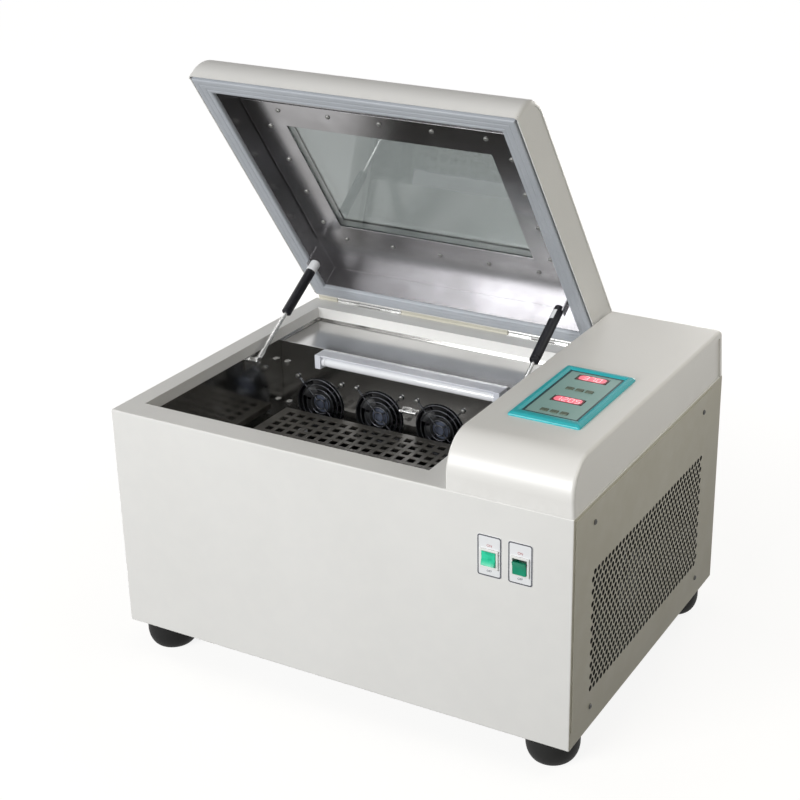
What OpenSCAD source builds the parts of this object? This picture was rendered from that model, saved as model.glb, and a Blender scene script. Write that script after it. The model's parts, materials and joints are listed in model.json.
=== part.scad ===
// Incubated benchtop shaker with a hinged glazed lid, standing open.
// Millimetres, +Z up. The front faces -Y and the control head is at +X.
// The floor is Z = 0, and the origin is under the middle of the overall box with the lid open.

/* [Cabinet] */
// Width over the side walls
cabinet_w = 730; // [610:5:900]
// Depth from the front wall to the rear wall
cabinet_d = 530; // [440:5:640]
// Height of the body from its underside to the chamber rim
body_h = 347; // [290:1:420]
// Thickness of the painted steel sheet
sheet_t = 1.5; // [1:0.1:2]
// Thickness of the screwed-on panels
panel_t = 1.2; // [0.8:0.1:2]
// Height of the rubber feet
foot_h = 46; // [20:1:60]
// Diameter of a foot at the cabinet
foot_d = 76; // [50:1:90]
// Diameter of a foot at the floor
foot_tip_d = 44; // [30:1:48]
// Distance of a foot's centre from both walls
foot_inset = 44; // [40:1:60]

/* [Control head] */
// Width of the control head
head_w = 184; // [160:1:220]
// Height of the head above the chamber rim
head_rise = 73; // [68:1:90]
// How far the head's right side leans in at the top
head_lean = 4; // [0:0.5:8]
// Radius of the curved front of the head and the lid
front_round = 52; // [20:1:60]
// Width of the control bezel
bezel_w = 105; // [95:1:120]
// Length of the control bezel from front to rear
bezel_l = 186; // [170:1:220]
// Width of the bezel's border
bezel_border = 11.5; // [6:0.5:14]
// How far the bezel stands above the head
bezel_t = 5; // [3:0.5:8]
// Distance from the front wall to the bezel
bezel_front = 101; // [60:1:120]
// Width of a display window
display_w = 47; // [36:1:52]
// Height of a display window
display_l = 20; // [14:1:24]
// Width of a key
key_w = 11; // [8:1:12]
// Length of a key from front to rear
key_l = 8; // [6:1:12]
// Distance between two keys of a row
key_pitch = 14.5; // [14:0.5:18]
// Distance a key travels when it is pressed
key_travel = 0.8; // [0.4:0.1:1]

/* [Chamber] */
// Width of the rim at the left of the chamber
rim_left = 30; // [24:1:40]
// Width of the rim in front of the chamber
rim_front = 39.5; // [30:0.5:50]
// Width of the rim behind the chamber
rim_rear = 40; // [34:0.5:50]
// Width of the deck between the chamber and the head
rim_right = 46; // [36:1:60]
// Height of the painted lip inside the rim
lip_h = 18; // [10:1:20]
// Depth of the chamber from the rim to its floor
chamber_h = 243; // [220:1:260]
// Thickness of the steel liner
liner_t = 1.2; // [0.8:0.1:1.5]
// Depth of the air duct behind the fans
duct_d = 108; // [100:1:120]
// Drop from the rim to the ledge over the duct
ledge_drop = 21.5; // [20:0.5:30]
// Height of the return-air slot under the duct panel
return_slot = 18; // [10:1:30]

/* [Air and light] */
// Side of a square axial fan
fan_size = 92; // [80:1:96]
// Thickness of an axial fan
fan_t = 25; // [20:1:30]
// Distance from a fan's edge to its screws
fan_screw_edge = 4.75; // [4:0.05:5.5]
// Distance between the fans
fan_pitch = 111; // [100:1:115]
// Distance from the left chamber wall to the first fan's axis
fan_left = 70.7; // [60:0.1:75]
// Drop from the rim to the fans' axes
fan_drop = 119.3; // [110:0.1:125]
// Diameter of the wire in the fan guards
wire_d = 2; // [1.5:0.1:3]
// Distance from the left chamber wall to the lamp
lamp_left = 80; // [60:1:100]
// Distance from the lamp to the right chamber wall
lamp_right = 60; // [50:1:90]
// How far the lamp housing stands out from the duct panel
lamp_out = 24; // [20:1:30]
// Height of the lamp housing
lamp_h = 22; // [20:1:26]
// Diameter of the lamp tube
tube_d = 16; // [12:1:16]

/* [Shaking platform] */
// Radius of the platform's circular path
orbit_r = 10; // [5:0.5:12.5]
// Least room between the platform's path and the chamber walls
tray_room = 4; // [3:0.5:8]
// Room behind the platform at rest
tray_rear = 16; // [8:1:24]
// Drop from the rim to the top of the platform
tray_drop = 131; // [120:1:140]
// Thickness of the platform sheet
tray_t = 2; // [1.5:0.1:3]
// Height of the platform's folded edge
tray_edge = 10; // [8:1:14]
// Distance between the platform's square holes
hole_pitch = 20; // [18:1:30]
// Side of a square hole
hole_size = 12.5; // [8:0.5:15]
// Diameter of the drive shaft
shaft_d = 24; // [20:1:30]
// Diameter of the eccentric pin
pin_d = 16; // [12:1:18]
// Diameter of the idler crank pins
idler_pin_d = 12; // [8:1:14]
// Radius of the driven pulley
driven_r = 45; // [36:1:52]
// Radius of the motor pulley
motor_r = 20; // [15:1:24]

/* [Lid] */
// Distance of the lid from the left cabinet wall
lid_left = 3; // [0:1:6]
// Gap between the lid and the control head
lid_gap = 12; // [8:1:20]
// Distance from the lid's rear wall to the rear of the cabinet
lid_rear = 6; // [5:0.5:10]
// Height of the closed lid's top above the rim
lid_h = 65; // [60:1:66]
// Angle to which the lid stands open
lid_open = 55; // [40:1:70]
// Height of the hinge axis above the rim
hinge_rise = 6; // [5.5:0.5:8]
// Length of a hinge
hinge_l = 123; // [80:1:130]
// Width of the lid gasket
gasket_w = 25.5; // [18:0.5:27]
// Height of the lid gasket
gasket_h = 6; // [4:0.5:8]
// Depth of the recess inside the lid
recess_d = 42; // [36:1:44]
// Width of the window
window_w = 350; // [260:1:360]
// Length of the window from front to rear
window_l = 242; // [180:1:260]
// How far the window's centre stands in front of the lid's middle
window_forward = 12; // [0:1:20]
// Thickness of a glass pane
glass_t = 4; // [3:0.5:5]

/* [Gas struts] */
// Diameter of a strut's cylinder
strut_d = 15; // [12:1:16]
// Diameter of a strut's rod
rod_d = 6; // [5:1:8]
// Length of a strut's cylinder
cylinder_l = 84; // [60:1:100]
// Distance from the hinge axis to the strut's pivot on the lid
strut_arm = 101; // [95:1:115]
// Angle by which that pivot lies below the closed lid's hinge axis
strut_arm_angle = 4; // [2:0.5:6]
// Distance from the hinge axis forward to the strut's pivot in the chamber
strut_base_reach = 234; // [220:1:250]
// Drop from the rim to the strut's pivot in the chamber
strut_base_drop = 24; // [23:0.5:30]

/* [Side grille] */
// Distance from the front wall to the grille
grille_front = 57; // [50:1:80]
// Distance from the grille to the rear wall
grille_rear = 75; // [70:1:110]
// Height of the grille's lower edge above the underside
grille_low = 60; // [50:1:80]
// Height of the grille
grille_h = 186; // [150:1:200]
// Distance between the vent holes of a row
vent_pitch = 11.6; // [11:0.1:16]
// Diameter of a vent hole
vent_d = 8.5; // [6:0.5:9]

/* [Hidden] */
$fn = 48;
// Gap between parts that lie against each other
seat = 0.2;
// Running clearance on the radius of a shaft in its bore
run = 0.05;
// Gap between parts that move past each other
slip = 0.5;
// Overlap by which cutting shapes pass a face
cut = 1;

// Screw heads
head_r = 3.8;
head_t = 2.2;
screw_r = 1.9;
bolt_r = 3;
flange_t = 6;

// Switches in the front wall
switch_w = 27;
switch_l = 28;
switch_flange = 2.5;
switch_lip = 1;
switch_deep = 20;
rocker_w = 19.8;
rocker_l = 19.8;
rocker_gap = 1;
rocker_out = 3;
rocker_tilt = 9;
plate_w = 35.4;
plate_l = 60.4;
plate_skin = 0.8;
plate_pitch = 44.9;
plate_from_head = 65;
plate_drop = 81;
rocker_drop = 3.5;
rocker_pivot = 4;
rocker_reach = rocker_pivot + plate_skin + switch_flange + rocker_out;
front_proud = rocker_reach * cos(rocker_tilt) + rocker_l / 2 * sin(rocker_tilt) - rocker_pivot;

trunnion_r = 2;

// The closed lid's rear top corner swings behind the cabinet when the lid opens
hinge_behind_lid = lid_rear - 1.5;
rear_reach = hinge_behind_lid + (lid_h - hinge_rise) * sin(lid_open)
    - hinge_behind_lid * cos(lid_open) - lid_rear;

// Corners of the cabinet
side_proud = panel_t + head_t;
x0 = -(cabinet_w + side_proud) / 2;
x1 = x0 + cabinet_w;
y0 = -(cabinet_d + rear_reach - front_proud) / 2;
y1 = y0 + cabinet_d;
z0 = foot_h;
foot_curve = 0.6 * foot_h;
z_rim = z0 + body_h;
z_top = z_rim + head_rise;
head_x = x1 - head_w;

// Chamber opening and liner
ch_x0 = x0 + rim_left;
ch_x1 = head_x - rim_right;
ch_y0 = y0 + rim_front;
ch_y1 = y1 - rim_rear;
floor_z = z_rim - chamber_h;
liner_in = sheet_t + 0.1;
liner_out = liner_in + liner_t;
foam_t = 15;
foam_z = floor_z - liner_t - foam_t;
machine_x = ch_x1 + liner_out + 28;
wall_x = [ch_x0 - liner_in, ch_x1 + liner_in];
duct_y = ch_y1 - duct_d;
ledge_z = z_rim - ledge_drop;
fan_z = z_rim - fan_drop;
fan_bore = fan_size / 2 - 2;
fan_screw_pitch = fan_size - 2 * fan_screw_edge;
fan_y = duct_y + liner_t + seat;
guard_rings = 5;
lamp_x0 = ch_x0 + lamp_left;
lamp_x1 = ch_x1 - lamp_right;
lamp_z = ledge_z - 1.5 - lamp_h;
tube_y = duct_y - lamp_out + tube_d / 2 + 1;

// Shaking platform and its drive
drive_x = (ch_x0 + ch_x1) / 2;
tray_side = orbit_r + tray_room;
tray_x0 = ch_x0 + tray_side;
tray_x1 = ch_x1 - tray_side;
tray_y1 = duct_y - tray_rear;
tray_y0 = ch_y0 + 2 * orbit_r + tray_room + 4.5;
tray_z = z_rim - tray_drop;
drive_y = (tray_y0 + tray_y1) / 2 - orbit_r;
bridge_z = foam_z - 14;
bridge_t = 3;
housing_h = floor_z + 36 - bridge_z - bridge_t;
hub_z = bridge_z + bridge_t + housing_h + 3;
hub_t = 10;
arm_t = 8;
arm_z = hub_z + 1;
post_top = arm_z - 1;
carrier_t = 4;
carrier_z = tray_z - tray_t - 12 - carrier_t;
boss_z = hub_z + hub_t + 3;
belt_z = bridge_z - 20;
belt_h = 10;
belt_t = 3;
idler_dx = 130;
idler_dy = -70;
motor_dx = 110;
motor_shaft_r = 5;

// Lid, in its closed place
lid_x0 = x0 + lid_left;
lid_x1 = head_x - lid_gap;
lid_y1 = y1 - lid_rear;
lid_top = z_rim + lid_h;
lid_low = z_rim + 3;
gasket_z = z_rim + 0.6;
gasket_in = 5;
pan_in = gasket_in + gasket_w + 0.5;
pan_z = gasket_z + recess_d;
flange_z = gasket_z + gasket_h + seat;
hinge_y = lid_y1 + hinge_behind_lid;
hinge_z = z_rim + hinge_rise;
window_x = (lid_x0 + lid_x1) / 2;
window_y = (y0 + lid_y1) / 2 - window_forward;
pane_over = 10;
frame_t = 1.4;
frame_band = 58;
knuckle_r = 3.6;
hinge_pin_r = 2;
hinge_x = [lid_x0 + 43, lid_x1 - 43 - hinge_l];

// Gas struts, standing with the lid open
tab_t = 2;
strut_in = lid_x0 + pan_in + tab_t + slip + strut_d / 2 - ch_x0;
strut_x = [ch_x0 + strut_in, ch_x1 - strut_in];
base_y = hinge_y - strut_base_reach;
base_z = z_rim - strut_base_drop;
arm_open = lid_open - strut_arm_angle;
top_y = hinge_y - strut_arm * cos(arm_open);
top_z = hinge_z + strut_arm * sin(arm_open);
tab_y = hinge_y - strut_arm * cos(strut_arm_angle);
tab_z = hinge_z - strut_arm * sin(strut_arm_angle);
strut_l = norm([top_y - base_y, top_z - base_z]);
strut_angle = atan2(top_z - base_z, top_y - base_y);
eye_r = 7;
eye_t = 6;
neck_l = 12;
rod_l = strut_l - neck_l - cylinder_l + 10;

// Controls on the head
bezel_x = head_x + (head_w - bezel_w) / 2 - 2;
bezel_y = y0 + bezel_front;
mem_w = bezel_w - 2 * bezel_border;
bezel_foot = 7;
mem_l = bezel_l - 2 * bezel_border - bezel_foot;
mem_x = bezel_x + bezel_border;
mem_y = bezel_y + bezel_border + bezel_foot;
mem_z = z_top + 1;
mem_t = 1.5;
row_y = [mem_y + mem_l - 61, mem_y + mem_l - 140.5];
display_up = 43;
key_h = 7;
key_gap = 0.3;
key_z = mem_z + mem_t + 1 - key_h;
board_z = key_z - 8;
board_t = 1.6;

// Side panel, grille and machine compartment
grille_l = cabinet_d - grille_front - grille_rear;
side_y0 = y0 + 5;
side_y1 = y1 - 44;
side_z0 = z0 + 28;
side_z1 = z_rim - 4;
vent_row = 0.8 * vent_pitch;
rear_x0 = machine_x + 10;
rear_x1 = x1 - 20;
rear_z0 = z0 + 26;
rear_z1 = z0 + 270;
inlet_w = 27;
inlet_l = 20;
inlet_x = rear_x1 - 30;
inlet_z = rear_z0 + 24;
cfan_r = 84;
cfan_x = x1 - sheet_t - 36;
cfan_y = y0 + grille_front + grille_l / 2;
cfan_z = z0 + grille_low + grille_h / 2;
coil_x = [cfan_x - 40, cfan_x - 8];
compressor_r = 58;
compressor_y = y1 - compressor_r - 46;
coil_l = 2 * (compressor_y - cfan_y - 49);
coil_y = [cfan_y - coil_l / 2, cfan_y + coil_l / 2];
coil_z = [cfan_z - 88, cfan_z + 88];
coil_rows = 6;
coil_step = (coil_z[1] - coil_z[0] - 28) / (coil_rows - 1);

// A box between two values on each axis
module block(x, y, z) {
    translate([x[0], y[0], z[0]])
        cube([x[1] - x[0], y[1] - y[0], z[1] - z[0]]);
}

// A cylinder along X, Y or Z from a point
module along_x(p, r, l) {
    translate(p) rotate([0, 90, 0]) cylinder(r = r, h = l);
}

module along_y(p, r, l) {
    translate(p) rotate([-90, 0, 0]) cylinder(r = r, h = l);
}

module along_z(p, r, l) {
    translate(p) cylinder(r = r, h = l);
}

// A flat bar with round corners, standing up from Z = 0
module round_plate(w, l, r) {
    union() {
        translate([r, 0]) square([w - 2 * r, l]);
        translate([0, r]) square([w, l - 2 * r]);
        for (x = [r, w - r], y = [r, l - r])
            translate([x, y]) circle(r = r);
    }
}

// Side view of a casing with a curved front, as Y and Z, extruded along X
module curved_casing(x, y, z, round_r) {
    translate([x[0], 0, 0]) rotate([90, 0, 90]) linear_extrude(x[1] - x[0]) difference() {
        translate([y[0], z[0]]) square([y[1] - y[0], z[1] - z[0]]);
        difference() {
            translate([y[0] - cut, z[1] - round_r]) square([round_r + cut, round_r + cut]);
            translate([y[0] + round_r, z[1] - round_r]) circle(r = round_r, $fn = 96);
        }
    }
}

// Moves a piece of the closed lid to where it stands open
module opened() {
    translate([0, hinge_y, hinge_z])
        rotate([-lid_open, 0, 0])
            translate([0, -hinge_y, -hinge_z])
                children();
}

// Axis of a fan, and centre of a switch plate, counted from the left
function fan_x(i) = ch_x0 + fan_left + i * fan_pitch;
function plate_x(i) = head_x + plate_from_head + i * plate_pitch;
plate_z = z_rim - plate_drop;
rocker_z = plate_z - rocker_drop;

// Hole or body of a switch, between two depths
module switch_hole(i, y, gap) {
    half_w = switch_w / 2 - switch_lip - gap;
    half_l = switch_l / 2 - switch_lip - gap;
    block([plate_x(i) - half_w, plate_x(i) + half_w], y, [rocker_z - half_l, rocker_z + half_l]);
}

// Places at the corners of the side panel and of the rear panel
module side_screws() {
    for (y = [y0 + grille_front + 5, y0 + grille_front + grille_l - 3], z = [side_z0 + 8, side_z1 - 27])
        translate([0, y, z]) children();
}

module rear_screws() {
    for (x = [rear_x0 + 6, rear_x1 - 6], z = [rear_z0 + 46, rear_z1 - 14])
        translate([x, 0, z]) children();
}

// Places of the bolts round the bearing housing
module housing_bolts() {
    for (a = [45:90:315])
        translate([drive_x + 37 * cos(a), drive_y + 37 * sin(a), 0]) children();
}

module outer_shell() {
    deck_in = 16;
    color([0.90, 0.88, 0.82]) union() {
        difference() {
            block([x0, x1], [y0, y1], [z0, z_rim]);
            block([x0 + sheet_t, x1 - sheet_t], [y0 + sheet_t, y1 - sheet_t], [z0 - cut, z_rim - sheet_t]);
            block([ch_x0, ch_x1], [ch_y0, ch_y1], [z_rim - sheet_t - cut, z_rim + cut]);
            block([head_x + deck_in, x1 - deck_in], [y0 + deck_in, y1 - deck_in],
                [z_rim - sheet_t - cut, z_rim + cut]);
            block([x1 - sheet_t - cut, x1 + cut], [y0 + grille_front - 3, y0 + grille_front + grille_l + 3],
                [z0 + grille_low - 3, z0 + grille_low + grille_h + 3]);
            block([rear_x0 + 12, rear_x1 - 12], [y1 - sheet_t - cut, y1 + cut], [rear_z0 + 10, rear_z1 - 12]);
            for (i = [0, 1])
                switch_hole(i, [y0 - cut, y0 + sheet_t + cut], 0);
            side_screws() along_x([x1 - sheet_t - cut, 0, 0], screw_r + seat, sheet_t + 2 * cut);
            rear_screws() along_y([0, y1 - sheet_t - cut, 0], screw_r + seat, sheet_t + 2 * cut);
        }
        difference() {
            block([ch_x0 - sheet_t, ch_x1 + sheet_t], [ch_y0 - sheet_t, ch_y1 + sheet_t],
                [z_rim - lip_h, z_rim - sheet_t / 2]);
            block([ch_x0, ch_x1], [ch_y0, ch_y1], [z_rim - lip_h - cut, z_rim + cut]);
        }
    }
}

// Base plate with a bridge over the motor and two posts for the idler cranks
module chassis() {
    leg = 20;
    bridge_x = [drive_x - 185, drive_x + 185];
    bridge_y = [drive_y - 130, drive_y + 110];
    color([0.62, 0.64, 0.66]) difference() {
        union() {
            block([x0 + sheet_t + seat, x1 - sheet_t - seat], [y0 + sheet_t + seat, y1 - sheet_t - seat],
                [z0, z0 + 2]);
            block(bridge_x, bridge_y, [bridge_z, bridge_z + bridge_t]);
            for (x = [bridge_x[0], bridge_x[1] - leg], y = [bridge_y[0], bridge_y[1] - leg])
                block([x, x + leg], [y, y + leg], [z0 + 1, bridge_z + 1]);
            for (s = [-1, 1])
                along_z([drive_x + s * idler_dx, drive_y + idler_dy, bridge_z + 1], 12, post_top - bridge_z - 1);
        }
        for (s = [-1, 1])
            along_z([drive_x + s * idler_dx, drive_y + idler_dy, post_top - 30],
                idler_pin_d / 2 + run, 30 + cut);
        along_z([drive_x, drive_y, bridge_z - cut], shaft_d / 2 + 2, bridge_t + 2 * cut);
        housing_bolts() along_z([0, 0, bridge_z - cut], bolt_r + seat, bridge_t + 2 * cut);
    }
}

module feet() {
    color([0.06, 0.06, 0.065])
        for (x = [x0 + foot_inset, x1 - foot_inset], y = [y0 + foot_inset, y1 - foot_inset])
            translate([x, y, 0]) rotate_extrude($fn = 64)
                polygon(concat([[0, 0]], [for (a = [-90:15:0]) [
                    foot_tip_d / 2 + (foot_d - foot_tip_d) / 2 * cos(a), foot_curve * (1 + sin(a))]],
                    [[foot_d / 2, foot_h], [0, foot_h]]));
}

module rear_panel() {
    louvres = 9;
    louvre_w = rear_x1 - rear_x0 - 44;
    louvre_z = inlet_z + inlet_l / 2 + 22;
    louvre_step = (rear_z1 - 26 - louvre_z) / (louvres - 1);
    color([0.88, 0.86, 0.80]) difference() {
        block([rear_x0, rear_x1], [y1, y1 + panel_t], [rear_z0, rear_z1]);
        for (i = [0:louvres - 1])
            block([rear_x0 + 22, rear_x0 + 22 + louvre_w], [y1 - cut, y1 + panel_t + cut],
                [louvre_z + i * louvre_step, louvre_z + i * louvre_step + 5]);
        block([inlet_x - inlet_w / 2, inlet_x + inlet_w / 2], [y1 - cut, y1 + panel_t + cut],
            [inlet_z - inlet_l / 2, inlet_z + inlet_l / 2]);
        rear_screws() along_y([0, y1 - cut, 0], screw_r + seat, panel_t + 2 * cut);
    }
}

// Screwed-on side panel with staggered rows of vent holes
module side_panel() {
    columns = floor((grille_l - vent_d) / vent_pitch + 0.5);
    rows = floor((grille_h - vent_d) / vent_row) + 1;
    first_y = y0 + grille_front + (grille_l - (columns - 0.5) * vent_pitch) / 2;
    first_z = z0 + grille_low + (grille_h - (rows - 1) * vent_row) / 2;
    color([0.86, 0.84, 0.78]) difference() {
        block([x1, x1 + panel_t], [side_y0, side_y1], [side_z0, side_z1]);
        translate([x1 - cut, 0, 0]) rotate([90, 0, 90]) linear_extrude(panel_t + 2 * cut)
            for (c = [0:columns - 1], r = [0:rows - 1])
                translate([first_y + (c + (r % 2) / 2) * vent_pitch, first_z + r * vent_row])
                    circle(d = vent_d, $fn = 16);
        side_screws() along_x([x1 - cut, 0, 0], screw_r + seat, panel_t + 2 * cut);
    }
}

// Screws of the panels, the fans and the duct panel, and the bolts of the bearing housing
module cabinet_screws() {
    color([0.62, 0.62, 0.62]) {
        side_screws() union() {
            along_x([x1 + panel_t, 0, 0], head_r, head_t);
            along_x([x1 - 8, 0, 0], screw_r, 8 + panel_t + 1);
        }
        rear_screws() union() {
            along_y([0, y1 + panel_t, 0], head_r, head_t);
            along_y([0, y1 - 8, 0], screw_r, 8 + panel_t + 1);
        }
        for (i = [0:2], a = [-1, 1], b = [-1, 1])
            translate([fan_x(i) + a * fan_screw_pitch / 2, 0, fan_z + b * fan_screw_pitch / 2]) union() {
                along_y([0, duct_y - wire_d - 0.2 - head_t, 0], head_r, head_t);
                along_y([0, duct_y - wire_d - 0.4, 0], screw_r, wire_d + 12);
            }
        for (x = [ch_x0 + 9, ch_x1 - 9], z = [fan_z - 11, fan_z + 60])
            along_y([x, duct_y - head_t, z], head_r, head_t);
        housing_bolts() union() {
            along_z([0, 0, bridge_z - 6], bolt_r, bridge_t + flange_t + 7);
            along_z([0, 0, bridge_z + bridge_t + flange_t], bolt_r + 2, 4);
        }
    }
}

// Holes in the chamber floor for the bearing housing and the idler posts
module floor_holes(z, h) {
    along_z([drive_x, drive_y, z], 32, h);
    for (s = [-1, 1])
        along_z([drive_x + s * idler_dx, drive_y + idler_dy, z], 15, h);
}

module chamber_liner() {
    color([0.75, 0.76, 0.77]) difference() {
        block([ch_x0 - liner_out, ch_x1 + liner_out], [ch_y0 - liner_out, ch_y1 + liner_out],
            [floor_z - liner_t, z_rim - sheet_t - seat]);
        block([ch_x0 - liner_in, ch_x1 + liner_in], [ch_y0 - liner_in, ch_y1 + liner_in], [floor_z, z_rim]);
        floor_holes(floor_z - liner_t - cut, liner_t + 2 * cut);
    }
}

module chamber_insulation() {
    lap = liner_out + seat;
    color([0.93, 0.91, 0.70]) difference() {
        block([x0 + sheet_t + seat, machine_x], [y0 + sheet_t + seat, y1 - sheet_t - seat],
            [foam_z, z_rim - sheet_t - seat]);
        block([ch_x0 - lap, ch_x1 + lap], [ch_y0 - lap, ch_y1 + lap], [floor_z - liner_t - seat, z_rim]);
        floor_holes(foam_z - cut, foam_t + 2 * cut);
    }
}

// Upright plate that carries the fans, folded back at the top into a ledge
module duct_panel() {
    panel_x = [wall_x[0] + seat, wall_x[1] - seat];
    color([0.62, 0.63, 0.64]) difference() {
        union() {
            block(panel_x, [duct_y, duct_y + liner_t], [floor_z + return_slot, ledge_z]);
            block(panel_x, [duct_y, ch_y1 + liner_in - seat], [ledge_z - liner_t, ledge_z]);
        }
        for (i = [0:2]) {
            along_y([fan_x(i), duct_y - cut, fan_z], fan_bore, liner_t + 2 * cut);
            for (a = [-1, 1], b = [-1, 1])
                along_y([fan_x(i) + a * fan_screw_pitch / 2, duct_y - cut, fan_z + b * fan_screw_pitch / 2],
                    screw_r + seat, liner_t + 2 * cut);
        }
    }
}

module fan_frame(x) {
    hub_r = 20;
    difference() {
        union() {
            difference() {
                block([x - fan_size / 2, x + fan_size / 2], [fan_y, fan_y + fan_t],
                    [fan_z - fan_size / 2, fan_z + fan_size / 2]);
                along_y([x, fan_y - cut, fan_z], fan_bore, fan_t + 2 * cut);
            }
            along_y([x, fan_y + fan_t - 5, fan_z], hub_r, 5);
            for (a = [90, 210, 330])
                translate([x, fan_y + fan_t - 4.8, fan_z]) rotate([0, a, 0])
                    translate([hub_r - 1, 0, -2]) cube([fan_bore - hub_r + 2, 4.4, 4]);
        }
        for (a = [-1, 1], b = [-1, 1])
            along_y([x + a * fan_screw_pitch / 2, fan_y - cut, fan_z + b * fan_screw_pitch / 2],
                screw_r + seat, fan_t + 2 * cut);
        along_y([x, fan_y - cut, fan_z], 2 + run, fan_t + 2 * cut);
    }
}

module fan_frames() {
    color([0.05, 0.05, 0.055])
        for (i = [0:2]) fan_frame(fan_x(i));
}

// Concentric wire rings on four arms that end in loops round the fan's screws
module fan_guard(x) {
    wire_r = wire_d / 2;
    ring_step = (fan_bore - 2) / guard_rings;
    loop_r = screw_r + wire_r + 0.3;
    diagonal = fan_screw_pitch / 2 * sqrt(2) - loop_r;
    translate([x, duct_y - wire_r - 0.1, fan_z]) rotate([90, 0, 0]) union() {
        for (i = [1:guard_rings])
            translate([0, 0, wire_r * 1.5]) rotate_extrude()
                translate([i * ring_step, 0]) circle(r = wire_r, $fn = 16);
        for (a = [45:90:315])
            rotate([0, 0, a]) translate([ring_step - 1, 0, 0]) rotate([0, 90, 0])
                cylinder(r = wire_r, h = diagonal - ring_step + 1.5, $fn = 16);
        for (a = [-1, 1], b = [-1, 1])
            translate([a * fan_screw_pitch / 2, b * fan_screw_pitch / 2, 0]) rotate_extrude()
                translate([loop_r, 0]) circle(r = wire_r, $fn = 16);
    }
}

module fan_guards() {
    color([0.08, 0.08, 0.08])
        for (i = [0:2]) fan_guard(fan_x(i));
}

module fan_impeller(i) {
    hub_r = 19;
    blades = 7;
    blade_r = fan_bore - 2.5;
    color([0.07, 0.07, 0.075])
        translate([fan_x(i), fan_y + 1, fan_z]) rotate([-90, 0, 0]) union() {
            cylinder(r = hub_r, h = fan_t - 7);
            cylinder(r = 2, h = fan_t - 3);
            for (b = [0:blades - 1])
                rotate([0, 0, b * 360 / blades]) translate([hub_r - 2, 0, (fan_t - 7) / 2])
                    rotate([35, 0, 0]) translate([0, -0.75, -9]) cube([blade_r - hub_r + 2, 1.5, 18]);
        }
}

module lamp_housing() {
    holder_l = 10;
    color([0.80, 0.81, 0.83]) difference() {
        union() {
            block([lamp_x0, lamp_x1], [duct_y - lamp_out, duct_y - seat], [lamp_z + lamp_h - 3, lamp_z + lamp_h]);
            block([lamp_x0, lamp_x1], [duct_y - 5, duct_y - seat], [lamp_z, lamp_z + lamp_h]);
            for (x = [lamp_x0, lamp_x1 - holder_l])
                block([x, x + holder_l], [duct_y - lamp_out - 2, duct_y - seat], [lamp_z - 1, lamp_z + lamp_h]);
        }
        along_x([lamp_x0 + holder_l / 2, tube_y, lamp_z + tube_d / 2 + 1],
            tube_d / 2 + seat, lamp_x1 - lamp_x0 - holder_l);
    }
}

module lamp_tube() {
    color([0.97, 0.97, 0.98])
        along_x([lamp_x0 + 6, tube_y, lamp_z + tube_d / 2 + 1], tube_d / 2, lamp_x1 - lamp_x0 - 12);
}

// Bent tubular heater lying in the duct above the evaporator
module air_heater() {
    heater_r = 4;
    bend_r = 20;
    heater_z = fan_z + 66;
    heater_y = duct_y + 66;
    xa = wall_x[0] + seat;
    xb = ch_x1 - 60;
    color([0.45, 0.42, 0.40]) union() {
        for (s = [-1, 1])
            along_x([xa + 1, heater_y + s * bend_r, heater_z], heater_r, xb - xa - 1);
        translate([xb, heater_y, heater_z]) intersection() {
            rotate_extrude() translate([bend_r, 0]) circle(r = heater_r, $fn = 24);
            translate([0, -bend_r - 5, -heater_r]) cube([bend_r + 5, 2 * bend_r + 10, 2 * heater_r]);
        }
        for (s = [-1, 1])
            along_x([xa + 1, heater_y + s * bend_r, heater_z], heater_r + 1.5, 16);
        block([xa, xa + 3], [heater_y - bend_r - 10, heater_y + bend_r + 10], [heater_z - 9, heater_z + 9]);
    }
}

module evaporator() {
    fins = 24;
    xa = ch_x0 + 34;
    xb = ch_x1 - 34;
    ya = fan_y + fan_t + 14;
    yb = ch_y1 - 12;
    za = floor_z + 8;
    zb = fan_z + 40;
    color([0.78, 0.79, 0.80]) union() {
        for (i = [0:fins - 1])
            block([xa + i * (xb - xa - 1) / (fins - 1), xa + i * (xb - xa - 1) / (fins - 1) + 1],
                [ya, yb], [za, zb]);
        for (x = [xa - 3, xb])
            block([x, x + 3], [ya, yb], [floor_z, zb]);
        for (r = [0:4], c = [0, 1])
            along_x([xa - 6, ya + 14 + c * (yb - ya - 28), za + 14 + r * (zb - za - 28) / 4], 4, xb - xa + 12);
    }
}

module temperature_probe() {
    probe_x = ch_x0 + fan_left + 1.5 * fan_pitch;
    probe_z = fan_z + 21;
    color([0.80, 0.80, 0.80]) union() {
        along_x([probe_x - 15, duct_y - 5, probe_z], 2.5, 30);
        block([probe_x - 5, probe_x + 5], [duct_y - 5, duct_y - seat], [probe_z - 1.5, probe_z + 1.5]);
        block([probe_x - 5, probe_x + 5], [duct_y - 1.4, duct_y - seat], [probe_z - 10, probe_z + 6]);
    }
}

// Plates on the chamber walls with the studs that carry the struts
module strut_base_brackets() {
    plate = 2.4;
    stud_l = strut_in + liner_in + eye_t / 2;
    collar_l = stud_l - eye_t - slip;
    color([0.82, 0.82, 0.83]) for (s = [0, 1]) translate([wall_x[s], base_y, base_z]) mirror([s, 0, 0]) union() {
        block([0, plate], [-14, 14], [-14, strut_base_drop - lip_h - slip]);
        along_x([1, 0, 0], 5, collar_l - 1);
        along_x([1, 0, 0], rod_d / 2, stud_l - 1);
    }
}

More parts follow.
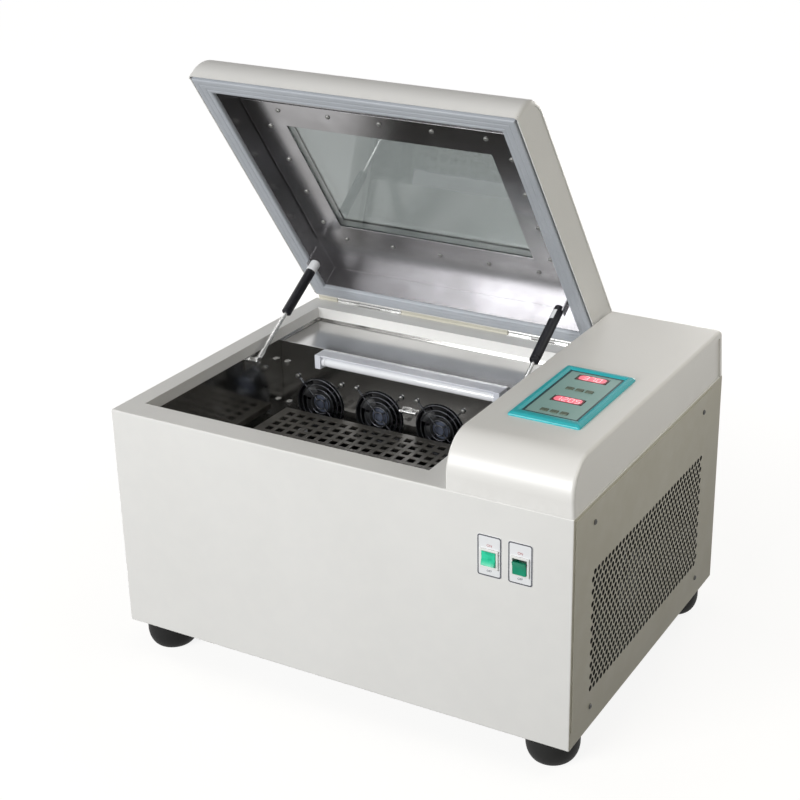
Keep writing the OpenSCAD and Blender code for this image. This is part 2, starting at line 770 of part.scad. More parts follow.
// Fixed half of the hinges: two outer knuckles, their pin and a leaf on the rim
module hinge_base_leaves() {
    third = hinge_l / 3;
    color([0.80, 0.81, 0.82]) for (x = hinge_x) union() {
        block([x, x + hinge_l], [lid_y1 - 3.5, y1], [z_rim, z_rim + 1.2]);
        for (s = [0, 2]) {
            along_x([x + s * third, hinge_y, hinge_z], knuckle_r, third);
            block([x + s * third, x + (s + 1) * third], [hinge_y - 2, y1], [z_rim, hinge_z]);
        }
        along_x([x, hinge_y, hinge_z], hinge_pin_r, hinge_l);
    }
}

// Moving half of the hinges, on the lid's rear wall
module hinge_lid_leaves() {
    third = hinge_l / 3;
    color([0.80, 0.81, 0.82]) opened() for (x = hinge_x) difference() {
        union() {
            along_x([x + third + 0.3, hinge_y, hinge_z], knuckle_r, third - 0.6);
            block([x + third + 0.3, x + 2 * third - 0.3], [lid_y1 + 0.05, hinge_y], [hinge_z, hinge_z + knuckle_r]);
            block([x, x + hinge_l], [lid_y1 + 0.05, lid_y1 + 1.25], [hinge_z + 4.5, hinge_z + 28]);
            block([x + third + 0.3, x + 2 * third - 0.3], [lid_y1 + 0.05, lid_y1 + 1.25], [hinge_z, hinge_z + 6]);
        }
        along_x([x, hinge_y, hinge_z], hinge_pin_r + run, hinge_l);
    }
}

module bearing_housing() {
    base = bridge_z + bridge_t;
    color([0.30, 0.32, 0.34]) difference() {
        union() {
            along_z([drive_x, drive_y, base], 46, flange_t);
            along_z([drive_x, drive_y, base], 28, housing_h);
        }
        along_z([drive_x, drive_y, base - cut], shaft_d / 2 + run, housing_h + 2 * cut);
        housing_bolts() along_z([0, 0, base - cut], bolt_r + seat, flange_t + 2 * cut);
    }
}

module drive_motor() {
    motor_z = z0 + 2;
    color([0.25, 0.26, 0.28]) difference() {
        union() {
            along_z([drive_x + motor_dx, drive_y, motor_z], 44, 34);
            along_z([drive_x + motor_dx, drive_y, motor_z + 33], 18, 5);
            for (a = [45:90:315])
                along_z([drive_x + motor_dx + 50 * cos(a), drive_y + 50 * sin(a), motor_z], 8, 6);
        }
        along_z([drive_x + motor_dx, drive_y, motor_z + 12], motor_shaft_r + run, 30);
    }
}

// A pulley with two rims that keep the belt in place
module pulley(r, bore_r) {
    rim = 2;
    difference() {
        union() {
            translate([0, 0, -rim - slip]) cylinder(r = r + 3, h = rim);
            translate([0, 0, -rim - slip]) cylinder(r = r, h = belt_h + 2 * rim + 2 * slip);
            translate([0, 0, belt_h + slip]) cylinder(r = r + 3, h = rim);
        }
        translate([0, 0, -10]) cylinder(r = bore_r, h = belt_h + 20);
    }
}

// The motor's shaft and the pulley on it
module motor_pulley() {
    color([0.70, 0.71, 0.72]) union() {
        translate([drive_x + motor_dx, drive_y, belt_z]) pulley(motor_r, motor_shaft_r - 1);
        along_z([drive_x + motor_dx, drive_y, z0 + 18], motor_shaft_r, belt_z + belt_h + 5 - z0 - 18);
    }
}

module driven_pulley() {
    color([0.70, 0.71, 0.72]) translate([drive_x, drive_y, belt_z]) pulley(driven_r, shaft_d / 2);
}

// Flat belt round both pulleys, standing clear of them
module drive_belt() {
    color([0.07, 0.07, 0.07]) translate([drive_x, drive_y, belt_z]) linear_extrude(belt_h) difference() {
        hull() {
            circle(r = driven_r + belt_t + 0.3, $fn = 64);
            translate([motor_dx, 0]) circle(r = motor_r + belt_t + 0.3, $fn = 64);
        }
        hull() {
            circle(r = driven_r + 0.3, $fn = 64);
            translate([motor_dx, 0]) circle(r = motor_r + 0.3, $fn = 64);
        }
    }
}

// Shaft with an eccentric pin and a counterweight opposite to it
module drive_shaft() {
    low = belt_z - 3;
    weight_r = 44;
    color([0.66, 0.67, 0.68]) union() {
        along_z([drive_x, drive_y, low], shaft_d / 2, hub_z - low + 1);
        along_z([drive_x, drive_y, hub_z], 26, hub_t);
        along_z([drive_x, drive_y + orbit_r, hub_z], pin_d / 2, carrier_z - hub_z - 1);
        intersection() {
            along_z([drive_x, drive_y, hub_z], weight_r, hub_t);
            block([drive_x - weight_r, drive_x + weight_r], [drive_y - weight_r, drive_y - 14],
                [hub_z, hub_z + hub_t]);
        }
    }
}

module idler_crank(s) {
    x = drive_x + s * idler_dx;
    y = drive_y + idler_dy;
    color([0.66, 0.67, 0.68]) union() {
        along_z([x, y, post_top - 26], idler_pin_d / 2, arm_z - post_top + 27);
        along_z([x, y, arm_z], 13, arm_t);
        along_z([x, y + orbit_r, arm_z], 13, arm_t);
        block([x - 13, x + 13], [y, y + orbit_r], [arm_z, arm_z + arm_t]);
        along_z([x, y + orbit_r, arm_z], idler_pin_d / 2, carrier_z - arm_z - 1);
    }
}

// Carrier under the platform, with a bearing boss for each crank pin
module tray_carrier() {
    cy = drive_y + orbit_r;
    half_w = 165;
    half_l = 105;
    color([0.55, 0.57, 0.59]) difference() {
        union() {
            block([drive_x - half_w, drive_x + half_w], [cy - half_l, cy + half_l],
                [carrier_z, carrier_z + carrier_t]);
            along_z([drive_x, cy, boss_z], pin_d / 2 + 9, carrier_z - boss_z + 1);
            for (s = [-1, 1])
                along_z([drive_x + s * idler_dx, cy + idler_dy, boss_z], idler_pin_d / 2 + 8,
                    carrier_z - boss_z + 1);
            for (x = [-1, 1], y = [-1, 1])
                along_z([drive_x + x * (half_w - 14), cy + y * (half_l - 14), carrier_z + carrier_t - 1],
                    8, tray_z - tray_t - carrier_z - carrier_t + 1);
        }
        along_z([drive_x, cy, boss_z - cut], pin_d / 2 + run, carrier_z - boss_z + cut);
        for (s = [-1, 1])
            along_z([drive_x + s * idler_dx, cy + idler_dy, boss_z - cut], idler_pin_d / 2 + run,
                carrier_z - boss_z + cut);
    }
}

module platform_tray() {
    w = tray_x1 - tray_x0;
    l = tray_y1 - tray_y0;
    columns = floor((w - 16) / hole_pitch);
    rows = floor((l - 16) / hole_pitch);
    edge_x = (w - (columns - 1) * hole_pitch - hole_size) / 2;
    edge_y = (l - (rows - 1) * hole_pitch - hole_size) / 2;
    color([0.20, 0.20, 0.21]) union() {
        translate([tray_x0, tray_y0, tray_z - tray_t]) linear_extrude(tray_t) difference() {
            square([w, l]);
            for (c = [0:columns - 1], r = [0:rows - 1])
                translate([edge_x + c * hole_pitch, edge_y + r * hole_pitch]) square(hole_size);
        }
        difference() {
            block([tray_x0, tray_x1], [tray_y0, tray_y1], [tray_z - tray_edge, tray_z - tray_t / 2]);
            block([tray_x0 + tray_t, tray_x1 - tray_t], [tray_y0 + tray_t, tray_y1 - tray_t],
                [tray_z - tray_edge - cut, tray_z + cut]);
        }
    }
}

module compressor() {
    r = compressor_r;
    h = 150;
    c = [machine_x + r + 16, compressor_y, z0 + 2];
    dome_r = 26;
    pipe_r = 4;
    pipe_z = coil_z[0] + 14 + 4 * coil_step;
    pipe_x = (coil_x[0] + coil_x[1]) / 2;
    pipe_y = c[1] - 10;
    color([0.08, 0.08, 0.09]) union() {
        translate(c + [0, 0, 10]) rotate_extrude($fn = 64) union() {
            translate([0, dome_r]) square([r, h - 2 * dome_r]);
            translate([0, 0]) square([r - dome_r, h]);
            translate([r - dome_r, dome_r]) circle(r = dome_r);
            translate([r - dome_r, h - dome_r]) circle(r = dome_r);
        }
        for (a = [30, 150, 270])
            translate(c) rotate([0, 0, a]) union() {
                translate([20, -12, 12]) cube([r - 2, 24, 3]);
                translate([r + 8, 0, 0]) cylinder(r = 9, h = 16);
            }
        block([c[0] - r - 8, c[0] - r + 20], [c[1] - 24, c[1] + 24], [c[2] + 60, c[2] + 108]);
        along_z([c[0] + 14, pipe_y, c[2] + h], pipe_r, pipe_z - c[2] - h);
        translate([c[0] + 14, pipe_y, pipe_z]) sphere(r = pipe_r);
        along_x([c[0] + 14, pipe_y, pipe_z], pipe_r, pipe_x - c[0] - 14);
        translate([pipe_x, pipe_y, pipe_z]) sphere(r = pipe_r);
        along_y([pipe_x, coil_y[1] + 6 + seat, pipe_z], pipe_r, pipe_y - coil_y[1] - 6 - seat);
    }
}

// Finned condenser behind its fan, on two end plates
module condenser() {
    fins = 26;
    fin_step = (coil_y[1] - coil_y[0] - 1) / (fins - 1);
    color([0.45, 0.46, 0.46]) union() {
        for (i = [0:fins - 1])
            block(coil_x, [coil_y[0] + i * fin_step, coil_y[0] + i * fin_step + 1], coil_z);
        for (y = [coil_y[0] - 2, coil_y[1]])
            block(coil_x, [y, y + 2], [z0 + 2, coil_z[1]]);
        for (r = [0:coil_rows - 1])
            along_y([(coil_x[0] + coil_x[1]) / 2, coil_y[0] - 6, coil_z[0] + 14 + r * coil_step],
                4, coil_y[1] - coil_y[0] + 12);
    }
}

module condenser_fan_housing() {
    hub_r = 32;
    depth = 30;
    color([0.10, 0.10, 0.105]) difference() {
        union() {
            difference() {
                block([cfan_x, cfan_x + 3], [cfan_y - cfan_r - 10, cfan_y + cfan_r + 10],
                    [z0 + 2, cfan_z + cfan_r + 6]);
                along_x([cfan_x - cut, cfan_y, cfan_z], cfan_r, 3 + 2 * cut);
            }
            difference() {
                along_x([cfan_x, cfan_y, cfan_z], cfan_r + 3, depth);
                along_x([cfan_x - cut, cfan_y, cfan_z], cfan_r, depth + 2 * cut);
            }
            along_x([cfan_x, cfan_y, cfan_z], hub_r, 8);
            for (a = [45:90:315])
                translate([cfan_x, cfan_y, cfan_z]) rotate([a, 0, 0]) translate([0, -4, 0]) cube([5, 8, cfan_r + 1]);
        }
        along_x([cfan_x - cut, cfan_y, cfan_z], 3 + run, 8 + 2 * cut);
    }
}

module condenser_fan() {
    hub_r = 28;
    blades = 5;
    color([0.75, 0.76, 0.77]) translate([cfan_x + 9, cfan_y, cfan_z]) rotate([0, 90, 0]) union() {
        cylinder(r = hub_r, h = 16);
        translate([0, 0, -8]) cylinder(r = 3, h = 10);
        for (b = [0:blades - 1])
            rotate([0, 0, b * 360 / blades]) translate([hub_r - 3, 0, 8])
                rotate([28, 0, 0]) translate([0, -13, -1]) cube([cfan_r - 5 - hub_r, 26, 2]);
    }
}

module control_board() {
    bx = mem_x + mem_w / 2;
    over = 9;
    color([0.10, 0.35, 0.20]) union() {
        block([mem_x, mem_x + mem_w], [mem_y - over, mem_y + mem_l + over], [board_z, board_z + board_t]);
        for (x = [mem_x + 6, mem_x + mem_w - 6], y = [mem_y - over / 2, mem_y + mem_l + over / 2])
            along_z([x, y, board_z + 1], 3, z_top - sheet_t - board_z - 1);
        for (y = row_y, k = [-1:1])
            block([bx + k * key_pitch - 3, bx + k * key_pitch + 3], [y - 3, y + 3],
                [board_z + 1, key_z - key_travel - 0.3]);
        block([mem_x + 10, mem_x + 30], [mem_y + 50, mem_y + 80], [board_z - 12, board_z + 1]);
        block([mem_x + 40, mem_x + 72], [mem_y + 90, mem_y + 120], [board_z - 16, board_z + 1]);
    }
}

// Two display windows with their light-emitting digits behind them
module display_modules() {
    bx = mem_x + mem_w / 2;
    color([0.55, 0.05, 0.07]) for (y = row_y)
        block([bx - display_w / 2, bx + display_w / 2],
            [y + display_up - display_l / 2, y + display_up + display_l / 2],
            [board_z + board_t, mem_z + mem_t - seat]);
}

// What of a piece is left of the head's leaning right side, or inset from it
module leaned(inset) {
    x = x1 - inset;
    intersection() {
        children();
        translate([0, y1 + cut, 0]) rotate([90, 0, 0]) linear_extrude(y1 - y0 + 2 * cut)
            polygon([[head_x - cut, z_rim - 2 * cut], [x, z_rim - 2 * cut], [x, z_rim],
                [x - head_lean, z_top], [x - head_lean, z_top + cut], [head_x - cut, z_top + cut]]);
    }
}

module head_cover() {
    color([0.90, 0.88, 0.83]) difference() {
        leaned(0) curved_casing([head_x, x1 + cut], [y0, y1], [z_rim + seat, z_top], front_round);
        leaned(sheet_t) curved_casing([head_x + sheet_t, x1 + cut], [y0 + sheet_t, y1 - sheet_t],
            [z_rim - cut, z_top - sheet_t], front_round - sheet_t);
        block([mem_x, mem_x + mem_w], [mem_y, mem_y + mem_l], [z_top - sheet_t - cut, z_top + cut]);
    }
}

module control_bezel() {
    color([0.10, 0.60, 0.62]) translate([0, 0, z_top]) difference() {
        translate([bezel_x, bezel_y, 0]) linear_extrude(bezel_t) round_plate(bezel_w, bezel_l, 3);
        translate([mem_x - 2, mem_y - 2, -cut]) cube([mem_w + 4, mem_l + 4, mem_z + mem_t - z_top + cut]);
        translate([mem_x, mem_y, 0]) cube([mem_w, mem_l, bezel_t + cut]);
    }
}

module control_membrane() {
    bx = mem_x + mem_w / 2;
    rim = 1.8;
    color([0.46, 0.62, 0.60]) difference() {
        block([mem_x - rim, mem_x + mem_w + rim], [mem_y - rim, mem_y + mem_l + rim],
            [mem_z, mem_z + mem_t - seat]);
        for (y = row_y) {
            block([bx - display_w / 2 - seat, bx + display_w / 2 + seat],
                [y + display_up - display_l / 2 - seat, y + display_up + display_l / 2 + seat],
                [mem_z - cut, mem_z + mem_t + cut]);
            for (k = [-1:1])
                translate([bx + k * key_pitch - key_w / 2 - key_gap, y - key_l / 2 - key_gap, mem_z - cut])
                    cube([key_w + 2 * key_gap, key_l + 2 * key_gap, mem_t + 2 * cut]);
        }
    }
}

module key_cap(row, k) {
    foot = 1;
    color([0.16, 0.22, 0.22]) translate([mem_x + mem_w / 2 + k * key_pitch, row_y[row], key_z]) union() {
        translate([-key_w / 2, -key_l / 2, 0]) cube([key_w, key_l, key_h]);
        translate([-key_w / 2 - foot, -key_l / 2 - foot, 0]) cube([key_w + 2 * foot, key_l + 2 * foot, 1.2]);
    }
}

module switch_plates() {
    color([0.92, 0.93, 0.94]) for (i = [0, 1]) difference() {
        translate([plate_x(i) - plate_w / 2, y0, plate_z - plate_l / 2]) rotate([90, 0, 0])
            linear_extrude(plate_skin) round_plate(plate_w, plate_l, 4);
        switch_hole(i, [y0 - 2 * cut, y0 + cut], 0);
    }
}

module switch_bodies() {
    y = y0 - plate_skin;
    gap = 0.5;
    color([0.90, 0.89, 0.84]) for (i = [0, 1]) difference() {
        union() {
            block([plate_x(i) - switch_w / 2, plate_x(i) + switch_w / 2], [y - switch_flange, y],
                [rocker_z - switch_l / 2, rocker_z + switch_l / 2]);
            switch_hole(i, [y - 1, y0 + switch_deep], seat);
        }
        block([plate_x(i) - rocker_w / 2 - gap, plate_x(i) + rocker_w / 2 + gap],
            [y - switch_flange - cut, y0 + switch_deep - 5],
            [rocker_z - rocker_l / 2 - rocker_gap, rocker_z + rocker_l / 2 + rocker_gap]);
        along_x([plate_x(i) - rocker_w / 2 - 1.5, y0 + rocker_pivot, rocker_z], trunnion_r + run, rocker_w + 3);
    }
}

// A rocker with a hollow face, pressed in at the top (1) or at the bottom (-1)
module rocker(i, side) {
    reach = rocker_reach;
    half = rocker_l / 2;
    hollow_r = 32;
    hollow_x = sqrt(hollow_r * hollow_r - half * half);
    color([0.05, 0.62, 0.42]) translate([plate_x(i), y0 + rocker_pivot, rocker_z])
        rotate([-side * rocker_tilt, 0, 0]) union() {
            translate([-rocker_w / 2, 0, 0]) rotate([90, 0, 90]) linear_extrude(rocker_w) difference() {
                polygon([[-reach, -half], [-reach, half], [-3, half - 3.2], [3, 4], [3, -4], [-3, -half + 3.2]]);
                translate([-reach - hollow_x, 0]) circle(r = hollow_r, $fn = 96);
            }
            along_x([-rocker_w / 2 - 1.3, 0, 0], trunnion_r, rocker_w + 2.6);
        }
}

module power_inlet() {
    color([0.06, 0.06, 0.065]) difference() {
        union() {
            block([inlet_x - inlet_w / 2 - 8, inlet_x + inlet_w / 2 + 8],
                [y1 + panel_t, y1 + panel_t + 2.5], [inlet_z - inlet_l / 2 - 3, inlet_z + inlet_l / 2 + 3]);
            block([inlet_x - inlet_w / 2 + seat, inlet_x + inlet_w / 2 - seat], [y1 - 22, y1 + panel_t + 1],
                [inlet_z - inlet_l / 2 + seat, inlet_z + inlet_l / 2 - seat]);
        }
        difference() {
            block([inlet_x - 12, inlet_x + 12], [y1 - 16, y1 + panel_t + 4], [inlet_z - 8, inlet_z + 8]);
            for (k = [-1:1])
                block([inlet_x + k * 7 - 1, inlet_x + k * 7 + 1], [y1 - 17, y1 - 3],
                    [inlet_z - 2 - abs(k) * 2 + 1, inlet_z + 3 - abs(k) * 2 + 1]);
        }
    }
}

// Painted lid casing with a curved front, open below, with the window in its top
module lid_shell() {
    color([0.90, 0.88, 0.83]) opened() difference() {
        curved_casing([lid_x0, lid_x1], [y0, lid_y1], [lid_low, lid_top], front_round);
        curved_casing([lid_x0 + sheet_t, lid_x1 - sheet_t], [y0 + sheet_t, lid_y1 - sheet_t],
            [lid_low - cut, lid_top - sheet_t], front_round - sheet_t);
        block([window_x - window_w / 2, window_x + window_w / 2],
            [window_y - window_l / 2, window_y + window_l / 2], [lid_top - sheet_t - cut, lid_top + cut]);
    }
}

// Steel pan inside the lid, with a tab and stud for each strut
module lid_liner() {
    edge = sheet_t + 0.3;
    pan_x = [lid_x0 + pan_in, lid_x1 - pan_in];
    pan_y = [y0 + pan_in, lid_y1 - pan_in];
    color([0.76, 0.77, 0.78]) opened() union() {
        difference() {
            union() {
                block([lid_x0 + edge, lid_x1 - edge], [y0 + edge, lid_y1 - edge], [flange_z, flange_z + liner_t]);
                block([pan_x[0] - liner_t, pan_x[1] + liner_t], [pan_y[0] - liner_t, pan_y[1] + liner_t],
                    [flange_z, pan_z + liner_t]);
            }
            block(pan_x, pan_y, [flange_z - cut, pan_z]);
            block([window_x - window_w / 2, window_x + window_w / 2],
                [window_y - window_l / 2, window_y + window_l / 2], [pan_z - cut, pan_z + liner_t + cut]);
        }
        for (s = [0, 1]) {
            reach = abs(strut_x[s] - pan_x[s]);
            side = strut_d / 2 + slip;
            translate([strut_x[s], tab_y, 0]) mirror([1 - s, 0, 0]) union() {
                block([side, side + tab_t], [-8, 8], [tab_z - 6, flange_z + 22]);
                block([side, reach + liner_t / 2], [-8, 8], [flange_z + 8, flange_z + 22]);
                along_x([eye_t / 2 + slip, 0, tab_z], 3.5, side - eye_t / 2 - slip + 1);
            }
        }
    }
}

module lid_gasket() {
    color([0.74, 0.78, 0.84]) opened() difference() {
        block([lid_x0 + gasket_in, lid_x1 - gasket_in], [y0 + gasket_in, lid_y1 - gasket_in],
            [gasket_z, gasket_z + gasket_h]);
        block([lid_x0 + gasket_in + gasket_w, lid_x1 - gasket_in - gasket_w],
            [y0 + gasket_in + gasket_w, lid_y1 - gasket_in - gasket_w], [gasket_z - cut, gasket_z + gasket_h + cut]);
    }
}

module window_panes() {
    x = [window_x - window_w / 2 - pane_over, window_x + window_w / 2 + pane_over];
    y = [window_y - window_l / 2 - pane_over, window_y + window_l / 2 + pane_over];
    color([0.80, 0.88, 0.88, 0.35]) opened() {
        block(x, y, [pan_z + liner_t + seat, pan_z + liner_t + seat + glass_t]);
        block(x, y, [lid_top - sheet_t - seat - glass_t, lid_top - sheet_t - seat]);
    }
}

// Clamping frame round the window, under the floor of the pan
module window_frame() {
    lap = 3;
    color([0.66, 0.67, 0.68]) opened() difference() {
        block([window_x - window_w / 2 - frame_band + 2, window_x + window_w / 2 + frame_band - 2],
            [window_y - window_l / 2 - frame_band + 12, window_y + window_l / 2 + frame_band - 12],
            [pan_z - frame_t - 0.1, pan_z - 0.1]);
        block([window_x - window_w / 2 + lap, window_x + window_w / 2 - lap],
            [window_y - window_l / 2 + lap, window_y + window_l / 2 - lap], [pan_z - frame_t - cut, pan_z + cut]);
    }
}

module window_screws() {
    half_w = window_w / 2 + 27.5;
    half_l = window_l / 2 + 30.5;
    z = pan_z - frame_t - 0.1 - head_t;
    color([0.85, 0.85, 0.85]) opened() {
        for (k = [-2:2], s = [-1, 1])
            along_z([window_x + k * (half_w - 29.5) / 2, window_y + s * half_l, z], head_r, head_t);
        for (k = [-1.5:1.5], s = [-1, 1])
            along_z([window_x + s * half_w, window_y + k * half_l / 2, z], head_r, head_t);
    }
}

// Places a strut's parts: X along the strut from its lower pivot, Z across it
module on_strut(s) {
    translate([strut_x[s], base_y, base_z]) rotate([strut_angle, 0, 0]) rotate([0, 0, 90])
        children();
}

module strut_rods() {
    color([0.85, 0.85, 0.86]) for (s = [0, 1]) on_strut(s) difference() {
        union() {
            along_y([0, -eye_t / 2, 0], eye_r, eye_t);
            along_x([eye_r - 1, 0, 0], 4.5, 16);
            along_x([eye_r - 1, 0, 0], rod_d / 2, rod_l - eye_r + 1);
        }
        along_y([0, -eye_t, 0], rod_d / 2 + run, 2 * eye_t);
    }
}

module strut_cylinders() {
    start = strut_l - neck_l - cylinder_l;
    color([0.05, 0.05, 0.055]) for (s = [0, 1]) on_strut(s) difference() {
        union() {
            along_x([start, 0, 0], strut_d / 2, cylinder_l);
            along_x([start + cylinder_l - 1, 0, 0], eye_t / 2 - 0.1, neck_l - eye_r + 3);
            along_y([strut_l, -eye_t / 2, 0], eye_r, eye_t);
        }
        along_x([start - cut, 0, 0], rod_d / 2 + run, cylinder_l - 3);
    }
}

outer_shell();
chassis();
feet();
rear_panel();
side_panel();
cabinet_screws();
chamber_liner();
chamber_insulation();
duct_panel();
fan_frames();
fan_guards();
lamp_housing();
lamp_tube();
air_heater();
evaporator();
temperature_probe();
strut_base_brackets();
hinge_base_leaves();
bearing_housing();
drive_motor();
drive_belt();
compressor();
condenser();
condenser_fan_housing();
control_board();
display_modules();
head_cover();
control_bezel();
control_membrane();
switch_plates();
switch_bodies();
power_inlet();
fan_impeller(0);  // fan_impeller_1
fan_impeller(1);  // fan_impeller_2
fan_impeller(2);  // fan_impeller_3
condenser_fan();
lid_shell();
lid_liner();
lid_gasket();
window_panes();
window_frame();
window_screws();
hinge_lid_leaves();
strut_rods();
strut_cylinders();
motor_pulley();
drive_shaft();
driven_pulley();
tray_carrier();
platform_tray();
idler_crank(-1);  // idler_crank_left
idler_crank(1);  // idler_crank_right
rocker(0, 1);  // power_rocker
rocker(1, -1);  // lamp_rocker
key_cap(0, -1);  // key_upper_1
key_cap(0, 0);  // key_upper_2
key_cap(0, 1);  // key_upper_3
key_cap(1, -1);  // key_lower_1
key_cap(1, 0);  // key_lower_2
key_cap(1, 1);  // key_lower_3
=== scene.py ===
# %% [markdown]
# # An incubated benchtop shaker
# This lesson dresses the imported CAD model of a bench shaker: a painted cabinet with a chamber, a lid on
# two gas struts, and a control head. The CAD model is loaded as a fixed frame. Each visible piece is then
# either a softened copy of its CAD node, or a mesh of its own that stands where the node is.

# %% Load the frame
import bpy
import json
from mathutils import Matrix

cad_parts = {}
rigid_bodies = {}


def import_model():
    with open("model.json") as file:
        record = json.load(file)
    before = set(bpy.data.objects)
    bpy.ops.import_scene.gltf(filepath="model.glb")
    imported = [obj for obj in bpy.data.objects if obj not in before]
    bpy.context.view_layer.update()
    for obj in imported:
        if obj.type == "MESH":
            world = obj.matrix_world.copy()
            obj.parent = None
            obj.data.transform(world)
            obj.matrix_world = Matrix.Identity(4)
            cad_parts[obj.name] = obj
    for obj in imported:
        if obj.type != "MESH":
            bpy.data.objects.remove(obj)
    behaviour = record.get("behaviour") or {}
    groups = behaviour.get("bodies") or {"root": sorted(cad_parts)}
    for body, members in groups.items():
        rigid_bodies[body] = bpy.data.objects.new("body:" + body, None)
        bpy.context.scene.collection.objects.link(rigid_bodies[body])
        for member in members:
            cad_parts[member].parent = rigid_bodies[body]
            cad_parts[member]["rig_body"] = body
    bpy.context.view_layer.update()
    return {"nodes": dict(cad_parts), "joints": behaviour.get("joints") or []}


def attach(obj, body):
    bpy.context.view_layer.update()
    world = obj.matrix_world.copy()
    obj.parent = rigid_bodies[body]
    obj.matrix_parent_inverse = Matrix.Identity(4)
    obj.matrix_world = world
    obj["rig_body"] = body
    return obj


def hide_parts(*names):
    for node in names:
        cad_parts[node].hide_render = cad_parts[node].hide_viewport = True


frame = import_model()

import json
import math
import bpy
import bmesh
from mathutils import Matrix, Vector

MM = 0.001
nodes = frame["nodes"]
scene = bpy.context.scene


def to_object(name, data):
    """A new object of the data, linked to the scene."""
    obj = bpy.data.objects.new(name, data)
    scene.collection.objects.link(obj)
    return obj

# %% [markdown]
# The photograph is a crop from a larger picture, so the camera looks at a point beside the middle and the
# sensor is shifted. Place, heading and lens were solved from the straight edges of the cabinet. The three
# axes of the camera are built by hand, because this keeps the small roll exact.

# %% Camera
IMAGE_SIDE = 800
CAMERA_PLACE = Vector((1.10356, -1.91872, 1.34007))
AZIMUTH, ELEVATION, ROLL = (math.radians(a) for a in (26.555, 22.845, 0.513))
LENS, SENSOR = 73.177, 36.0
OPTICAL_CENTRE = (520.14, 378.03)

back = Vector((math.sin(AZIMUTH) * math.cos(ELEVATION), -math.cos(AZIMUTH) * math.cos(ELEVATION),
               math.sin(ELEVATION)))
right = Vector((math.cos(AZIMUTH), math.sin(AZIMUTH), 0))
turn = Matrix((right, back.cross(right), back)).transposed().to_4x4() @ Matrix.Rotation(ROLL, 4, "Z")
camera_data = bpy.data.cameras.new("camera")
camera_data.lens, camera_data.sensor_width = LENS, SENSOR
camera_data.shift_x = (IMAGE_SIDE / 2 - OPTICAL_CENTRE[0]) / IMAGE_SIDE
camera_data.shift_y = (OPTICAL_CENTRE[1] - IMAGE_SIDE / 2) / IMAGE_SIDE
camera = to_object("camera", camera_data)
camera.matrix_world = Matrix.Translation(CAMERA_PLACE) @ turn
scene.camera = camera
print("camera shift:", camera_data.shift_x, camera_data.shift_y)

# %% [markdown]
# Every shader here is built from a few kinds of nodes. One helper adds a node and fills its inputs in order,
# with a link or with a value, and the others give the usual steps a short name.

# %% Shader helpers
def add(tree, kind, *values, **settings):
    """A new shader node. The values fill its inputs in order, and None leaves one as it is."""
    node = tree.nodes.new("ShaderNode" + kind)
    for label, setting in settings.items():
        setattr(node, label, setting)
    for socket, value in zip(node.inputs, values):
        if isinstance(value, bpy.types.NodeSocket):
            tree.links.new(value, socket)
        elif value is not None:
            socket.default_value = value
    return node


def seen_rays(tree):
    """One where the camera, a reflection or clear glass looks at the surface, and zero elsewhere."""
    rays = add(tree, "LightPath").outputs
    first = add(tree, "Math", rays["Is Camera Ray"], rays["Is Glossy Ray"], operation="MAXIMUM").outputs[0]
    return add(tree, "Math", first, rays["Is Transmission Ray"], operation="MAXIMUM").outputs[0]


def ranged(tree, value, low, high, start=0.0, end=1.0):
    """Goes from low to high as the value goes from start to end."""
    return add(tree, "MapRange", value, start, end, low, high).outputs[0]


def stepped(tree, value, start, end):
    """Stretches the part of a value between start and end to the whole of zero to one."""
    return add(tree, "MapRange", value, start, end, interpolation_type="SMOOTHSTEP").outputs[0]


def times(tree, a, b):
    return add(tree, "Math", a, b, operation="MULTIPLY").outputs[0]


def blended(tree, share, a, b):
    """Colour a, or b where share is one. The colours are the seventh and eighth input of the node."""
    return add(tree, "Mix", share, *[None] * 5, a, b, data_type="RGBA").outputs[2]


def noise(tree, scale, detail, vector=None, rough=0.55):
    if vector is None:
        vector = add(tree, "TexCoord").outputs["Object"]
    return add(tree, "TexNoise", vector, None, scale, detail, rough).outputs["Fac"]


print("shader helpers ready")

# %% [markdown]
# The studio is plain: a pale floor, a white world and five soft lamps. The world is white where the camera
# or a reflection sees it, and dim and warm where it lights the object, so paint keeps its own value. The
# floor adds light of its own for the camera, more of it far from the object, so that the background stays
# white while the soft shadow still shows.

# %% World and floor
WORLD_LIGHT, WORLD_TINT = 0.10, (1.0, 0.93, 0.80, 1)
scene.view_settings.view_transform = "Standard"
world = bpy.data.worlds.new("studio")
world.use_nodes = True
tree = world.node_tree
background = tree.nodes["Background"]
seen = seen_rays(tree)
tree.links.new(blended(tree, seen, WORLD_TINT, (1, 1, 1, 1)), background.inputs["Color"])
tree.links.new(ranged(tree, seen, WORLD_LIGHT, 1.0), background.inputs["Strength"])
scene.world = world

FLOOR_SIDE, FLOOR_COLOUR, FLOOR_GLOW, FAR_GLOW = 24.0, (0.18, 0.175, 0.16, 1), 0.87, 0.98
NEAR, FAR = 0.55, 1.5
floor_mesh = bpy.data.meshes.new("floor")
floor_mesh.from_pydata([(x * FLOOR_SIDE, y * FLOOR_SIDE, 0) for x, y in ((-1, -1), (1, -1), (1, 1), (-1, 1))],
                       [], [(0, 1, 2, 3)])
floor = to_object("floor", floor_mesh)
floor_paint = bpy.data.materials.new("floor_paint")
floor_paint.use_nodes = True
tree = floor_paint.node_tree
tree.nodes.clear()
position = add(tree, "NewGeometry").outputs["Position"]
distance = add(tree, "VectorMath", position, operation="LENGTH").outputs["Value"]
strength = times(tree, seen_rays(tree), ranged(tree, distance, FLOOR_GLOW, FAR_GLOW, NEAR, FAR))
matt, glow = add(tree, "BsdfDiffuse", FLOOR_COLOUR), add(tree, "Emission", None, strength)
add(tree, "OutputMaterial", add(tree, "AddShader", matt.outputs[0], glow.outputs[0]).outputs[0])
floor_mesh.materials.append(floor_paint)
